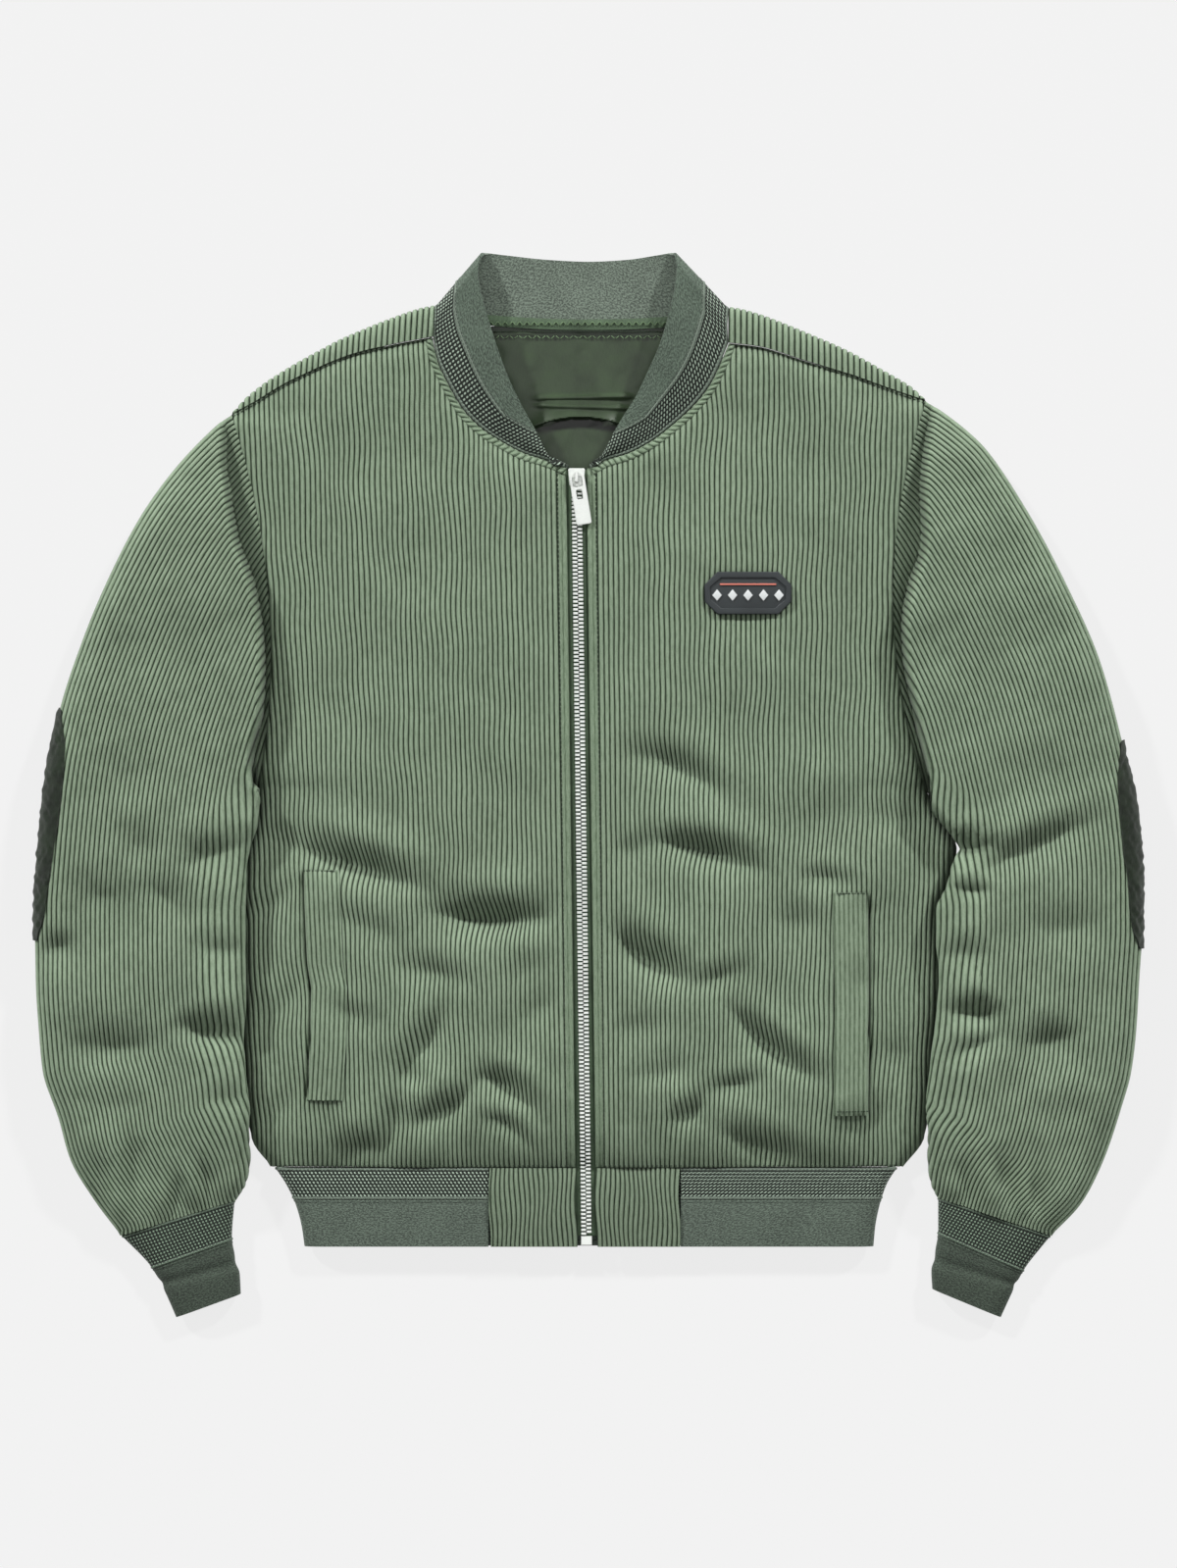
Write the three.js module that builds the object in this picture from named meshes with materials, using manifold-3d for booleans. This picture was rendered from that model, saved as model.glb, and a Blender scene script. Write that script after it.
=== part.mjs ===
// A wide-wale corduroy bomber jacket lying flat on its back, front up, zip closed to the V of the neck.
// Units are millimetres. +X is to the right seen from above, +Y points to the collar and +Z is up.
// Left and right in the names are as seen from above. The back rests on z = 0.

import * as THREE from 'three';
import { mergeVertices } from 'three/addons/utils/BufferGeometryUtils.js';
import Module from 'manifold-3d';

const wasm = await Module();
wasm.setup();

// Driving dimensions

const CLOTH = 2;              // corduroy with its lining
const RIB = 2.6;              // folded rib knit
const THIN = 1;               // zip tape and neck tape
const SEAM = 0.3;             // gap between two pieces at a seam
const HEM_SEAM_Y = -273;      // top of the hem band
const V_POINT_Y = 225;        // bottom of the neck opening
const ZIP_LEAN = 0.013;       // sideways run of the zip for each millimetre down
const ZIP_TOP_X = -8.4;       // zip centre at the height where the lean starts
const ZIP_TOP_Y = 210;
const ZIP_CLEAR = 7.2;        // half of the opening between the two fronts
const TEETH_HALF = 3.7;       // half width of the closed chain
const SIDE_ROLL = 30;         // how far in from the side the front is rounded
const SLEEVE_ROLL = 22;       // how far in from its edges a sleeve is rounded
const UNDER_ROLL = 9;         // the same on the side that rests
const SEAM_DIP = 3;           // how deep a seam lies below the cloth beside it
const DIP_REACH = 8;          // how far from a seam the cloth starts to drop
const FOLD_ABOVE = 20;        // run of a fold on the side towards the collar
const FOLD_BELOW = 8;         // run of a fold on the side towards the hem
const FOLD_RIDGE = 0.35;      // height of the ridge below a fold, as a share of its depth

const COLOURS = {
  corduroy: 0x707d6b,
  rib: 0x57615a,
  lining: 0x43523e,
  tape: 0x2c3a2c,
  suede: 0x232e22,
  teeth: 0xaab0a8,
  metal: 0xc2c8c0,
  badge: 0x24292a,
};

// Short tables: one row for each section or fold, one name for each column

function table(columns, rows) {
  return rows.map((row) => Object.fromEntries(columns.map((name, i) => [name, row[i]])));
}

const BODY_CROWN = table(['y', 'z'], [
  [-273, 12.5], [-262, 17.5], [-245, 22], [-215, 25.5], [-100, 27], [0, 26.5], [120, 24.5],
  [190, 21.5], [240, 18.5], [300, 16.5], [345, 15.5],
]);

const SIDE_LEFT = table(['y', 'x'], [
  [-273, -227.5], [-252, -236.6], [-210, -246], [-140, -247.6], [-70, -247.4], [-49, -244.8],
  [-32, -240], [-17, -238.2], [0, -234.9],
]);

const SIDE_RIGHT = table(['y', 'x'], [
  [-273, 224.7], [-252, 236], [-203, 246], [-172, 249.5], [-140, 252.3], [-112, 250.5],
  [-91, 250.5], [-75, 257], [-60, 261], [-45, 262.5], [-33, 257.5], [-22, 250.5], [-12, 244.5], [0, 239.1],
]);

const NECK_LEFT = table(['x', 'y'], [
  [-15, 225.4], [-29.4, 231], [-45.5, 235.9], [-61.6, 244.3], [-75, 253], [-88.9, 266.7],
  [-100.1, 285.6], [-108, 303], [-111.3, 319.2],
]);

const NECK_RIGHT = table(['x', 'y'], [
  [1.5, 225.4], [12, 231], [28, 236], [44.1, 244.3], [58.8, 255.5], [74.9, 270.2],
  [86.1, 284.2], [94, 300], [100.1, 315],
]);

const SHOULDER_LEFT = table(['along', 'rise'], [[0, 0], [0.2, 5.5], [0.45, 10], [0.7, 8], [0.9, 2.5], [1, 0]]);
const SHOULDER_RIGHT = table(['along', 'rise'], [[0, 0], [0.2, 4], [0.4, 3], [0.6, 3], [0.8, 1.5], [1, 0]]);

const SLEEVE_COLUMNS = ['innerX', 'innerY', 'outerX', 'outerY', 'crown', 'innerZ', 'outerZ', 'bow'];

const SLEEVE_LEFT = table(SLEEVE_COLUMNS, [
  [-235.2, 0, -254.8, 263.9, 12, 7, 8, 17],
  [-239.4, -10.5, -260.4, 260.4, 18, 8, 8, 13],
  [-241.5, -17.5, -287, 234.5, 24, 9, 9, 8],
  [-242.2, -24.5, -316.4, 196, 27.5, 9, 9, 2],
  [-242.9, -31.5, -341.6, 148.4, 30, 9, 9, 0],
  [-245, -38.5, -361.2, 101.5, 31, 9, 9, 0],
  [-247.8, -49, -376.6, 54.6, 32, 9, 9, 0],
  [-249.9, -63, -386.4, 7, 32, 9, 9, 0],
  [-249.9, -84, -392, -47.6, 31, 9, 9, 0],
  [-249.9, -108.5, -394.8, -91, 30, 9, 9, 0],
  [-249.9, -140, -394.1, -140, 30, 9, 9, 0],
  [-249.9, -171.5, -392, -175, 29, 9, 9, 0],
  [-249.2, -203, -389.2, -204.4, 28, 9, 9, 0],
  [-244.3, -238, -378, -238, 26, 9, 9, 0],
  [-242.2, -266, -369.6, -267.4, 23, 9, 9, 0],
  [-245, -283.5, -353.5, -295.4, 19, 8, 8, 0],
  [-252.7, -296.8, -333.9, -322, 13, 6.5, 6.5, 0],
]);

const SLEEVE_RIGHT = table(SLEEVE_COLUMNS, [
  [239.4, 0, 240.8, 273.7, 12, 7, 8, -23],
  [247.1, -12.6, 250.6, 267.4, 18, 8, 8, -21],
  [253.4, -22.4, 280, 242.9, 24, 9, 9, -12],
  [260.4, -31.5, 312.2, 196, 27.5, 9, 9, -3],
  [266, -40.6, 340.2, 143.5, 30, 9, 9, 0],
  [267.4, -49, 364, 89.6, 31, 9, 9, 0],
  [264.6, -61.6, 380.1, 31.5, 32, 9, 9, 0],
  [261.1, -73.5, 391.3, -21, 32, 9, 9, 0],
  [253.4, -91, 394.8, -66.5, 31, 9, 9, 0],
  [253.4, -112, 394.8, -101.5, 30, 9, 9, 0],
  [255.5, -140, 392.7, -140, 30, 9, 9, 0],
  [252, -171.5, 390.6, -175, 29, 9, 9, 0],
  [248.5, -203, 387.1, -204.4, 28, 9, 9, 0],
  [243.6, -238, 379.4, -232.4, 26, 9, 9, 0],
  [242.9, -266, 368.2, -266, 23, 9, 9, 0],
  [245, -283.5, 352.1, -298.2, 19, 8, 8, 0],
  [249.9, -294.7, 330.4, -322, 13, 6.5, 6.5, 0],
]);

const CUFF_LEFT = table(SLEEVE_COLUMNS, [
  [-252.9, -297.2, -333.6, -322.6, 13, 6.5, 6.5, 0],
  [-254.8, -323.4, -312.9, -344.4, 13.5, 6.5, 6.5, 0],
  [-249.2, -350, -302.4, -363.3, 13, 6.5, 6.5, 0],
  [-248.5, -364, -294.7, -380.8, 12, 6, 6, 0],
]);

const CUFF_RIGHT = table(SLEEVE_COLUMNS, [
  [249.9, -295.3, 330.2, -322.6, 13, 6.5, 6.5, 0],
  [249.9, -319.2, 311.5, -346.5, 13.5, 6.5, 6.5, 0],
  [245, -346.5, 303.1, -362.6, 13, 6.5, 6.5, 0],
  [245.7, -360.5, 294.7, -380.8, 12, 6, 6, 0],
]);

// Folds run from left to right over a bend, with the steep side towards the hem

const FOLD_COLUMNS = ['startX', 'startY', 'bendX', 'bendY', 'endX', 'endY', 'depth'];

const BODY_FOLDS = table(FOLD_COLUMNS, [
  [-232, -42, -165, -50, -104, -78, 9],
  [-122, -90, -75, -108, -14, -88, 8],
  [-240, -95, -225, -78, -203, -58, 5],
  [-158, -129, -112, -136, -78, -142, 4],
  [-152, -267, -128, -205, -98, -148, 4],
  [-128, -245, -78, -205, -32, -238, 6],
  [-78, -238, -62, -226, -42, -250, 3],
  [26, 26, 70, 18, 104, -14, 4],
  [40, -41, 80, -40, 122, -62, 6],
  [136, -63, 156, -64, 180, -69, 3],
  [10, -100, 60, -150, 107, -128, 8],
  [98, -160, 125, -184, 158, -206, 4],
  [55, -242, 82, -212, 118, -208, 5],
  [84, -245, 112, -254, 150, -270, 4],
]);

const SLEEVE_LEFT_FOLDS = table(FOLD_COLUMNS, [
  [-318, -63, -296, -76, -282, -96, 6],
  [-298, -49, -270, -62, -244, -42, 9],
  [-393, -102, -378, -112, -362, -121, 5],
  [-296, -162, -270, -182, -246, -170, 8],
  [-382, -180, -336, -192, -284, -182, 5],
  [-330, -305, -327, -262, -322, -220, 4],
  [-352, -292, -350, -270, -345, -245, 3],
  [-286, -300, -290, -275, -296, -245, 3],
]);

const SLEEVE_RIGHT_FOLDS = table(FOLD_COLUMNS, [
  [248, -33, 268, -50, 294, -34, 9],
  [270, -66, 318, -42, 380, -22, 6],
  [252, -166, 272, -180, 298, -164, 8],
  [264, -194, 300, -184, 348, -171, 6],
  [296, -262, 298, -280, 302, -304, 4],
  [318, -278, 321, -290, 326, -304, 3],
]);

const COLLAR_COLUMNS = ['seamX', 'seamY', 'seamZ', 'edgeX', 'edgeY', 'edgeZ'];

// Free rows of the collar: over the side of the neck and along the back, outer face down
const COLLAR_TURN = table(COLLAR_COLUMNS, [
  [-110.2, 330, 14, -78.4, 372, 18],
  [-109.8, 341, 8, -76.5, 379.5, 12],
  [-103, 341, 2.2, -72.6, 380, 5.6],
  [-84, 333, 0.6, -58, 378.4, 3],
  [-45, 328.5, 0.3, -30, 375.4, 2.2],
  [0, 327.5, 0.3, 0, 374, 2],
  [42, 328.5, 0.3, 28, 375.4, 2.2],
  [78, 333, 0.6, 48, 378.4, 3],
  [94, 340, 2.2, 58.6, 380, 5.6],
  [100.2, 340, 8, 62.5, 379.5, 12],
  [99, 328, 14, 63.4, 372, 18],
]);

const COLLAR_EDGE_LEFT = table(['x', 'y', 'z'], [
  [-25, 229.5, 17.5], [-29.4, 236, 18.5], [-37, 251, 20.5], [-48, 271, 22.5], [-58, 292, 23.5],
  [-66, 314, 23.5], [-72.8, 336, 22.5], [-77, 352, 21], [-79, 363, 19.5],
]);

const COLLAR_EDGE_RIGHT = table(['x', 'y', 'z'], [
  [7.5, 231.5, 17.5], [13, 241, 18.5], [22, 258, 20.5], [34, 277, 22.5], [43, 296, 23.5],
  [51, 314, 23.5], [56.5, 332, 22.5], [60.5, 349, 21], [62.6, 362, 19.5],
]);

const HEM_SIDE = table(['y', 'left', 'right', 'z'], [
  [-273.8, -224, 220.5, 12.5], [-286, -216, 213, 13.5], [-301, -209, 208, 13.5],
  [-316, -205, 205, 13], [-330, -203, 203.7, 12],
]);

const PATCH_REACH = table(['section', 'reach'], [
  [6, 3], [6.5, 13], [7, 15], [7.5, 14.5], [8, 12.5], [8.5, 11], [9, 9], [9.4, 3],
]);

// Curves and profiles

// A smooth curve through the knots that doesn't overshoot them
function curveThrough(knots, values) {
  const last = knots.length - 1;
  const slope = (i) => (values[i + 1] - values[i]) / (knots[i + 1] - knots[i]);
  const tangents = knots.map((_, i) => {
    if (i === 0) return slope(0);
    if (i === last) return slope(last - 1);
    const before = slope(i - 1);
    const after = slope(i);
    return before * after <= 0 ? 0 : (2 * before * after) / (before + after);
  });
  return (at) => {
    let i = 0;
    while (i < last - 1 && at > knots[i + 1]) i += 1;
    const span = knots[i + 1] - knots[i];
    const t = THREE.MathUtils.clamp((at - knots[i]) / span, 0, 1);
    const square = t * t;
    const cube = square * t;
    return values[i] * (2 * cube - 3 * square + 1)
      + values[i + 1] * (3 * square - 2 * cube)
      + tangents[i] * span * (cube - 2 * square + t)
      + tangents[i + 1] * span * (cube - square);
  };
}

function columnCurve(rows, key, column) {
  return curveThrough(rows.map((row) => row[key]), rows.map((row) => row[column]));
}

// The same for every column, with the row's number as the key
function sectionCurves(rows, columns) {
  const numbers = rows.map((_, i) => i);
  return Object.fromEntries(
    columns.map((name) => [name, curveThrough(numbers, rows.map((row) => row[name]))]),
  );
}

function rounded(distance, reach) {
  const inward = 1 - THREE.MathUtils.clamp(distance / reach, 0, 1);
  return Math.sqrt(1 - inward * inward);
}

const point = (x, y, z) => new THREE.Vector3(x, y, z);

function bump(distance, reach) {
  return Math.exp(-((distance / reach) ** 2));
}

function lerp(a, b, t) {
  return a + (b - a) * t;
}

const FOLD_STEPS = 8;
const FOLD_FADE = 0.3;

// A fold as a chain of points along its bend
function foldLine(fold) {
  const curve = new THREE.QuadraticBezierCurve(
    new THREE.Vector2(fold.startX, fold.startY),
    new THREE.Vector2(fold.bendX, fold.bendY),
    new THREE.Vector2(fold.endX, fold.endY),
  );
  return { depth: fold.depth, points: curve.getPoints(FOLD_STEPS) };
}

// How far one fold lowers the cloth at a place
function foldDepth(line, x, y) {
  let nearest = Infinity;
  let signed = 0;
  let along = 0;
  for (let i = 0; i < FOLD_STEPS; i += 1) {
    const a = line.points[i];
    const b = line.points[i + 1];
    const run = b.clone().sub(a);
    const offset = new THREE.Vector2(x, y).sub(a);
    const t = THREE.MathUtils.clamp(offset.dot(run) / run.lengthSq(), 0, 1);
    const distance = offset.distanceTo(run.clone().multiplyScalar(t));
    if (distance < nearest) {
      nearest = distance;
      along = (i + t) / FOLD_STEPS;
      signed = run.cross(offset) >= 0 ? distance : -distance;
    }
  }
  const fade = THREE.MathUtils.smoothstep(along, 0, FOLD_FADE) * THREE.MathUtils.smoothstep(1 - along, 0, FOLD_FADE);
  const valley = signed >= 0 ? bump(signed, FOLD_ABOVE) : bump(signed, FOLD_BELOW);
  const ridge = FOLD_RIDGE * bump(signed + 2 * FOLD_BELOW, FOLD_BELOW);
  return line.depth * fade * (valley - ridge);
}

function foldSum(lines, x, y) {
  return lines.reduce((sum, line) => sum + foldDepth(line, x, y), 0);
}

// The group and its materials

const jacket = new THREE.Group();

function cloth(colour, roughness = 0.9, metalness = 0) {
  return new THREE.MeshStandardMaterial({ color: COLOURS[colour], roughness, metalness });
}

function addMesh(name, geometry, material) {
  const mesh = new THREE.Mesh(geometry, material);
  mesh.name = name;
  jacket.add(mesh);
  return mesh;
}

function geometryOf(vertices, triangles) {
  const volume = triangles.reduce((sum, [a, b, c]) => (
    sum + vertices[a].dot(vertices[b].clone().cross(vertices[c]))
  ), 0);
  const outward = volume > 0 ? triangles : triangles.map(([a, b, c]) => [a, c, b]);
  const geometry = new THREE.BufferGeometry();
  geometry.setAttribute('position', new THREE.Float32BufferAttribute(
    vertices.flatMap((point) => point.toArray()), 3,
  ));
  geometry.setIndex(outward.flat());
  geometry.computeVertexNormals();
  return geometry;
}

// A wall of cloth: rows of outer points, the same points moved in by its thickness, and the rims between them.
// A ring closes on itself along each row. The inner points stay above the given height. An upright wall is
// thick straight down, as a strip that lies on another piece is.
function wallGeometry(rows, thickness, { ring = false, face = 1, lowest = -Infinity, upright = false } = {}) {
  const rowCount = rows.length;
  const columnCount = rows[0].length;
  const at = (i, j) => {
    const row = rows[THREE.MathUtils.clamp(i, 0, rowCount - 1)];
    const column = ring ? (j + columnCount) % columnCount : THREE.MathUtils.clamp(j, 0, columnCount - 1);
    return row[column];
  };
  const vertices = [];
  rows.forEach((row) => vertices.push(...row));
  for (let i = 0; i < rowCount; i += 1) {
    for (let j = 0; j < columnCount; j += 1) {
      const across = at(i, j + 1).clone().sub(at(i, j - 1));
      const down = at(i + 1, j).clone().sub(at(i - 1, j));
      const normal = upright ? point(0, 0, 1) : across.cross(down).normalize().multiplyScalar(face);
      const inner = at(i, j).clone().addScaledVector(normal, -thickness);
      inner.z = Math.max(inner.z, lowest);
      vertices.push(inner);
    }
  }
  const outer = (i, j) => i * columnCount + (j % columnCount);
  const inner = (i, j) => rowCount * columnCount + outer(i, j);
  const triangles = [];
  const quad = (a, b, c, d) => triangles.push([a, b, c], [a, c, d]);
  const columnCells = ring ? columnCount : columnCount - 1;
  for (let i = 0; i < rowCount - 1; i += 1) {
    for (let j = 0; j < columnCells; j += 1) {
      quad(outer(i, j), outer(i, j + 1), outer(i + 1, j + 1), outer(i + 1, j));
      quad(inner(i, j), inner(i + 1, j), inner(i + 1, j + 1), inner(i, j + 1));
    }
  }
  for (let j = 0; j < columnCells; j += 1) {
    const end = rowCount - 1;
    quad(outer(0, j + 1), outer(0, j), inner(0, j), inner(0, j + 1));
    quad(outer(end, j), outer(end, j + 1), inner(end, j + 1), inner(end, j));
  }
  if (!ring) {
    for (let i = 0; i < rowCount - 1; i += 1) {
      const end = columnCount - 1;
      quad(outer(i, 0), outer(i + 1, 0), inner(i + 1, 0), inner(i, 0));
      quad(outer(i + 1, end), outer(i, end), inner(i, end), inner(i + 1, end));
    }
  }
  return geometryOf(vertices, triangles);
}

function addWall(name, rows, thickness, material, options) {
  return addMesh(name, wallGeometry(rows, thickness, options), material);
}

// Sleeves and cuffs are rings from the inner edge over the top to the outer edge and back underneath

const ROLL_SHARES = [1 - Math.cos(Math.PI / 6), 1 - Math.cos(Math.PI / 3), 1];
const TOP_STEPS = 10;
const UNDER_STEPS = 3;

// Distances from one edge to the other, close together where the wall is rounded
function distancesAcross(width, roll, steps) {
  const start = ROLL_SHARES.map((share) => share * roll);
  const middle = [];
  for (let i = 1; i < steps; i += 1) middle.push(lerp(roll, width - roll, i / steps));
  const end = start.map((distance) => width - distance).reverse();
  return [...start, ...middle, ...end];
}

function ringSection(curves, foldLines, section) {
  const at = Object.fromEntries(SLEEVE_COLUMNS.map((name) => [name, curves[name](section)]));
  const width = Math.hypot(at.outerX - at.innerX, at.outerY - at.innerY);
  const roll = Math.min(SLEEVE_ROLL, width * 0.3);
  const under = Math.min(UNDER_ROLL, width * 0.15);
  const place = (distance, z) => {
    const t = distance / width;
    return point(lerp(at.innerX, at.outerX, t) + 4 * at.bow * t * (1 - t), lerp(at.innerY, at.outerY, t), z);
  };
  const edgeZ = (distance) => lerp(at.innerZ, at.outerZ, distance / width);
  const top = (distance) => {
    const flat = place(distance, 0);
    const share = rounded(distance, roll) * rounded(width - distance, roll);
    const height = at.crown - foldSum(foldLines, flat.x, flat.y);
    return flat.setZ(lerp(edgeZ(distance), height, share));
  };
  const bottom = (distance) => {
    const share = rounded(distance, under) * rounded(width - distance, under);
    return place(distance, edgeZ(distance) * (1 - share));
  };
  return { width, roll, under, place, top, bottom, edgeZ };
}

function ringPoints(ring) {
  const { width } = ring;
  return [
    ring.place(0, ring.edgeZ(0)),
    ...distancesAcross(width, ring.roll, TOP_STEPS).map(ring.top),
    ring.place(width, ring.edgeZ(width)),
    ...distancesAcross(width, ring.under, UNDER_STEPS).reverse().map(ring.bottom),
  ];
}

const SLEEVE_SECTIONS = [0, 1, 2, 3, 4, 5, 6, 7, 7.5, 8, 8.5, 9, 9.5, 10, 10.5, 11, 11.5, 12, 13, 14, 14.6, 15.2, 16];

const sides = {
  left: {
    toBody: 1,
    sleeve: SLEEVE_LEFT,
    folds: SLEEVE_LEFT_FOLDS,
    cuff: CUFF_LEFT,
    side: SIDE_LEFT,
    neck: NECK_LEFT,
    shoulder: SHOULDER_LEFT,
    collarEdge: COLLAR_EDGE_LEFT,
  },
  right: {
    toBody: -1,
    sleeve: SLEEVE_RIGHT,
    folds: SLEEVE_RIGHT_FOLDS,
    cuff: CUFF_RIGHT,
    side: SIDE_RIGHT,
    neck: NECK_RIGHT,
    shoulder: SHOULDER_RIGHT,
    collarEdge: COLLAR_EDGE_RIGHT,
  },
};

function zipX(y) {
  return ZIP_TOP_X + ZIP_LEAN * (ZIP_TOP_Y - y);
}

const bodyCrown = columnCurve(BODY_CROWN, 'y', 'z');
const bodyFoldLines = BODY_FOLDS.map(foldLine);

// Height of the front's outer face, before its edges are turned down
function bodyHeight(x, y) {
  const stiff = THREE.MathUtils.smoothstep(Math.abs(x - zipX(y)), ZIP_CLEAR, ZIP_CLEAR + 26);
  return bodyCrown(y) - stiff * foldSum(bodyFoldLines, x, y);
}

function addSleeve(name, side) {
  const curves = sectionCurves(side.sleeve, SLEEVE_COLUMNS);
  const foldLines = side.folds.map(foldLine);
  const rings = SLEEVE_SECTIONS.map((section) => ringSection(curves, foldLines, section));
  const rows = rings.map(ringPoints);
  addWall(`sleeve_${name}`, rows, CLOTH, cloth('corduroy'), { ring: true, face: side.toBody });
  side.armhole = rings[0];
  side.armholeRow = rows[0];

  const reachAt = columnCurve(PATCH_REACH, 'section', 'reach');
  const patchRows = PATCH_REACH.map(({ section }) => {
    const ring = ringSection(curves, foldLines, section);
    const reach = reachAt(section);
    return [
      ...[1, 0.6, 0.25].map((share) => ring.top(ring.width - share * reach)),
      ring.place(ring.width, ring.edgeZ(ring.width)),
      ...[0.07, 0.2].map((share) => ring.bottom(ring.width - share * ring.under)),
    ];
  });
  addPatch(`elbow_patch_${name}`, patchRows, side.toBody);

  const cuffCurves = sectionCurves(side.cuff, SLEEVE_COLUMNS);
  const cuffRows = [0, 0.5, 1, 1.5, 2, 3].map((section) => ringPoints(ringSection(cuffCurves, [], section)));
  addWall(`cuff_${name}`, cuffRows, RIB, cloth('rib'), { ring: true, face: side.toBody });
}

const PATCH_WALL = 1.2;

// A patch is the sleeve's own points, moved out by the gap and its thickness
function addPatch(name, rows, face) {
  const outer = rows.map((row, i) => row.map((place, j) => {
    const across = row[Math.min(j + 1, row.length - 1)].clone().sub(row[Math.max(j - 1, 0)]);
    const down = rows[Math.min(i + 1, rows.length - 1)][j].clone().sub(rows[Math.max(i - 1, 0)][j]);
    const normal = across.cross(down).normalize().multiplyScalar(face);
    return place.clone().addScaledVector(normal, 2.5 * SEAM + PATCH_WALL);
  }));
  addWall(name, outer, PATCH_WALL, cloth('suede'), { face });
}

// Fronts: rows run from the side or armhole to the zip or neck

const FRONT_LOW_YS = [
  -273, -266, -256, -244, -232, -220, -208, -195, -180, -165, -150, -137, -124, -112, -101, -90, -78, -66,
  -54, -42, -30, -15,
];
const FRONT_COLUMNS = 18;
const NECK_START = 0.56;      // place along the armhole where the rows reach the bottom of the V
const SIDE_EDGE_Z = CLOTH + SEAM;

function neckPoint(side, along) {
  const numbers = side.neck.map((_, i) => i / (side.neck.length - 1));
  const x = curveThrough(numbers, side.neck.map((row) => row.x));
  const y = curveThrough(numbers, side.neck.map((row) => row.y));
  return point(x(along), y(along), 0);
}

function frontEnds(side) {
  const low = FRONT_LOW_YS.map((y) => ({
    sideEnd: point(columnCurve(side.side, 'y', 'x')(y), y, SIDE_EDGE_Z),
    zipEnd: point(zipX(y) - side.toBody * ZIP_CLEAR, y, 0),
  }));
  const { width, roll } = side.armhole;
  const distances = [0, ...distancesAcross(width, roll, TOP_STEPS).slice(0, -1)];
  const last = distances[distances.length - 1];
  side.neckAlongs = [];
  const high = distances.map((distance, i) => {
    const sideEnd = side.armholeRow[i].clone();
    sideEnd.x += side.toBody * SEAM;
    const along = distance / last;
    if (along < NECK_START) {
      const y = V_POINT_Y * (along / NECK_START) * 0.985;
      return { sideEnd, zipEnd: point(zipX(y) - side.toBody * ZIP_CLEAR, y, 0) };
    }
    const neckAlong = (along - NECK_START) / (1 - NECK_START);
    side.neckAlongs.push(neckAlong);
    return { sideEnd, zipEnd: neckPoint(side, neckAlong), neck: true };
  });
  return [...low, ...high];
}

function frontShares() {
  const shares = [0, 0.017, 0.062, 0.13];
  const start = shares[shares.length - 1];
  const steps = FRONT_COLUMNS - shares.length;
  for (let i = 1; i <= steps; i += 1) shares.push(lerp(start, 1, i / steps));
  return shares;
}

function addFront(name, side) {
  const ends = frontEnds(side);
  const shares = frontShares();
  const topEnds = ends[ends.length - 1];
  const shoulderRise = columnCurve(side.shoulder, 'along', 'rise');
  const topAt = (share) => topEnds.sideEnd.clone().lerp(topEnds.zipEnd, share);
  const rows = ends.map((end, i) => shares.map((share) => {
    const place = end.sideEnd.clone().lerp(end.zipEnd, share);
    const highness = THREE.MathUtils.smoothstep(i, FRONT_LOW_YS.length, ends.length - 1);
    place.y += shoulderRise(1 - share) * highness;
    const width = end.sideEnd.distanceTo(end.zipEnd);
    const height = bodyHeight(place.x, place.y);
    const toShoulder = topAt(share).setZ(0).distanceTo(place.clone().setZ(0));
    const toNeck = end.neck ? (1 - share) * width : Infinity;
    const dip = SEAM_DIP * Math.max(bump(toShoulder, DIP_REACH), bump(toNeck, DIP_REACH));
    const roll = lerp(SIDE_ROLL, SIDE_ROLL / 2, highness);
    place.z = lerp(end.sideEnd.z, height - dip, rounded(share * width, roll));
    return place;
  }));
  addWall(`front_${name}`, rows, CLOTH, cloth('corduroy'), { face: side.toBody, lowest: SIDE_EDGE_Z });
  side.frontRows = rows;
  side.shoulderRow = rows[rows.length - 1];
}

// Shoulder yokes: from the seam on the front over the shoulder to the back panel

const YOKE_NECK = { left: { x: -111.6, y: 341 }, right: { x: 102, y: 340 } };
const YOKE_UNDER = 16;        // how far the yoke reaches in underneath
const YOKE_EDGE_Z = 8;
const YOKE_BOW = 1.5;          // how far the shoulder's edge bows out between its ends

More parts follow.
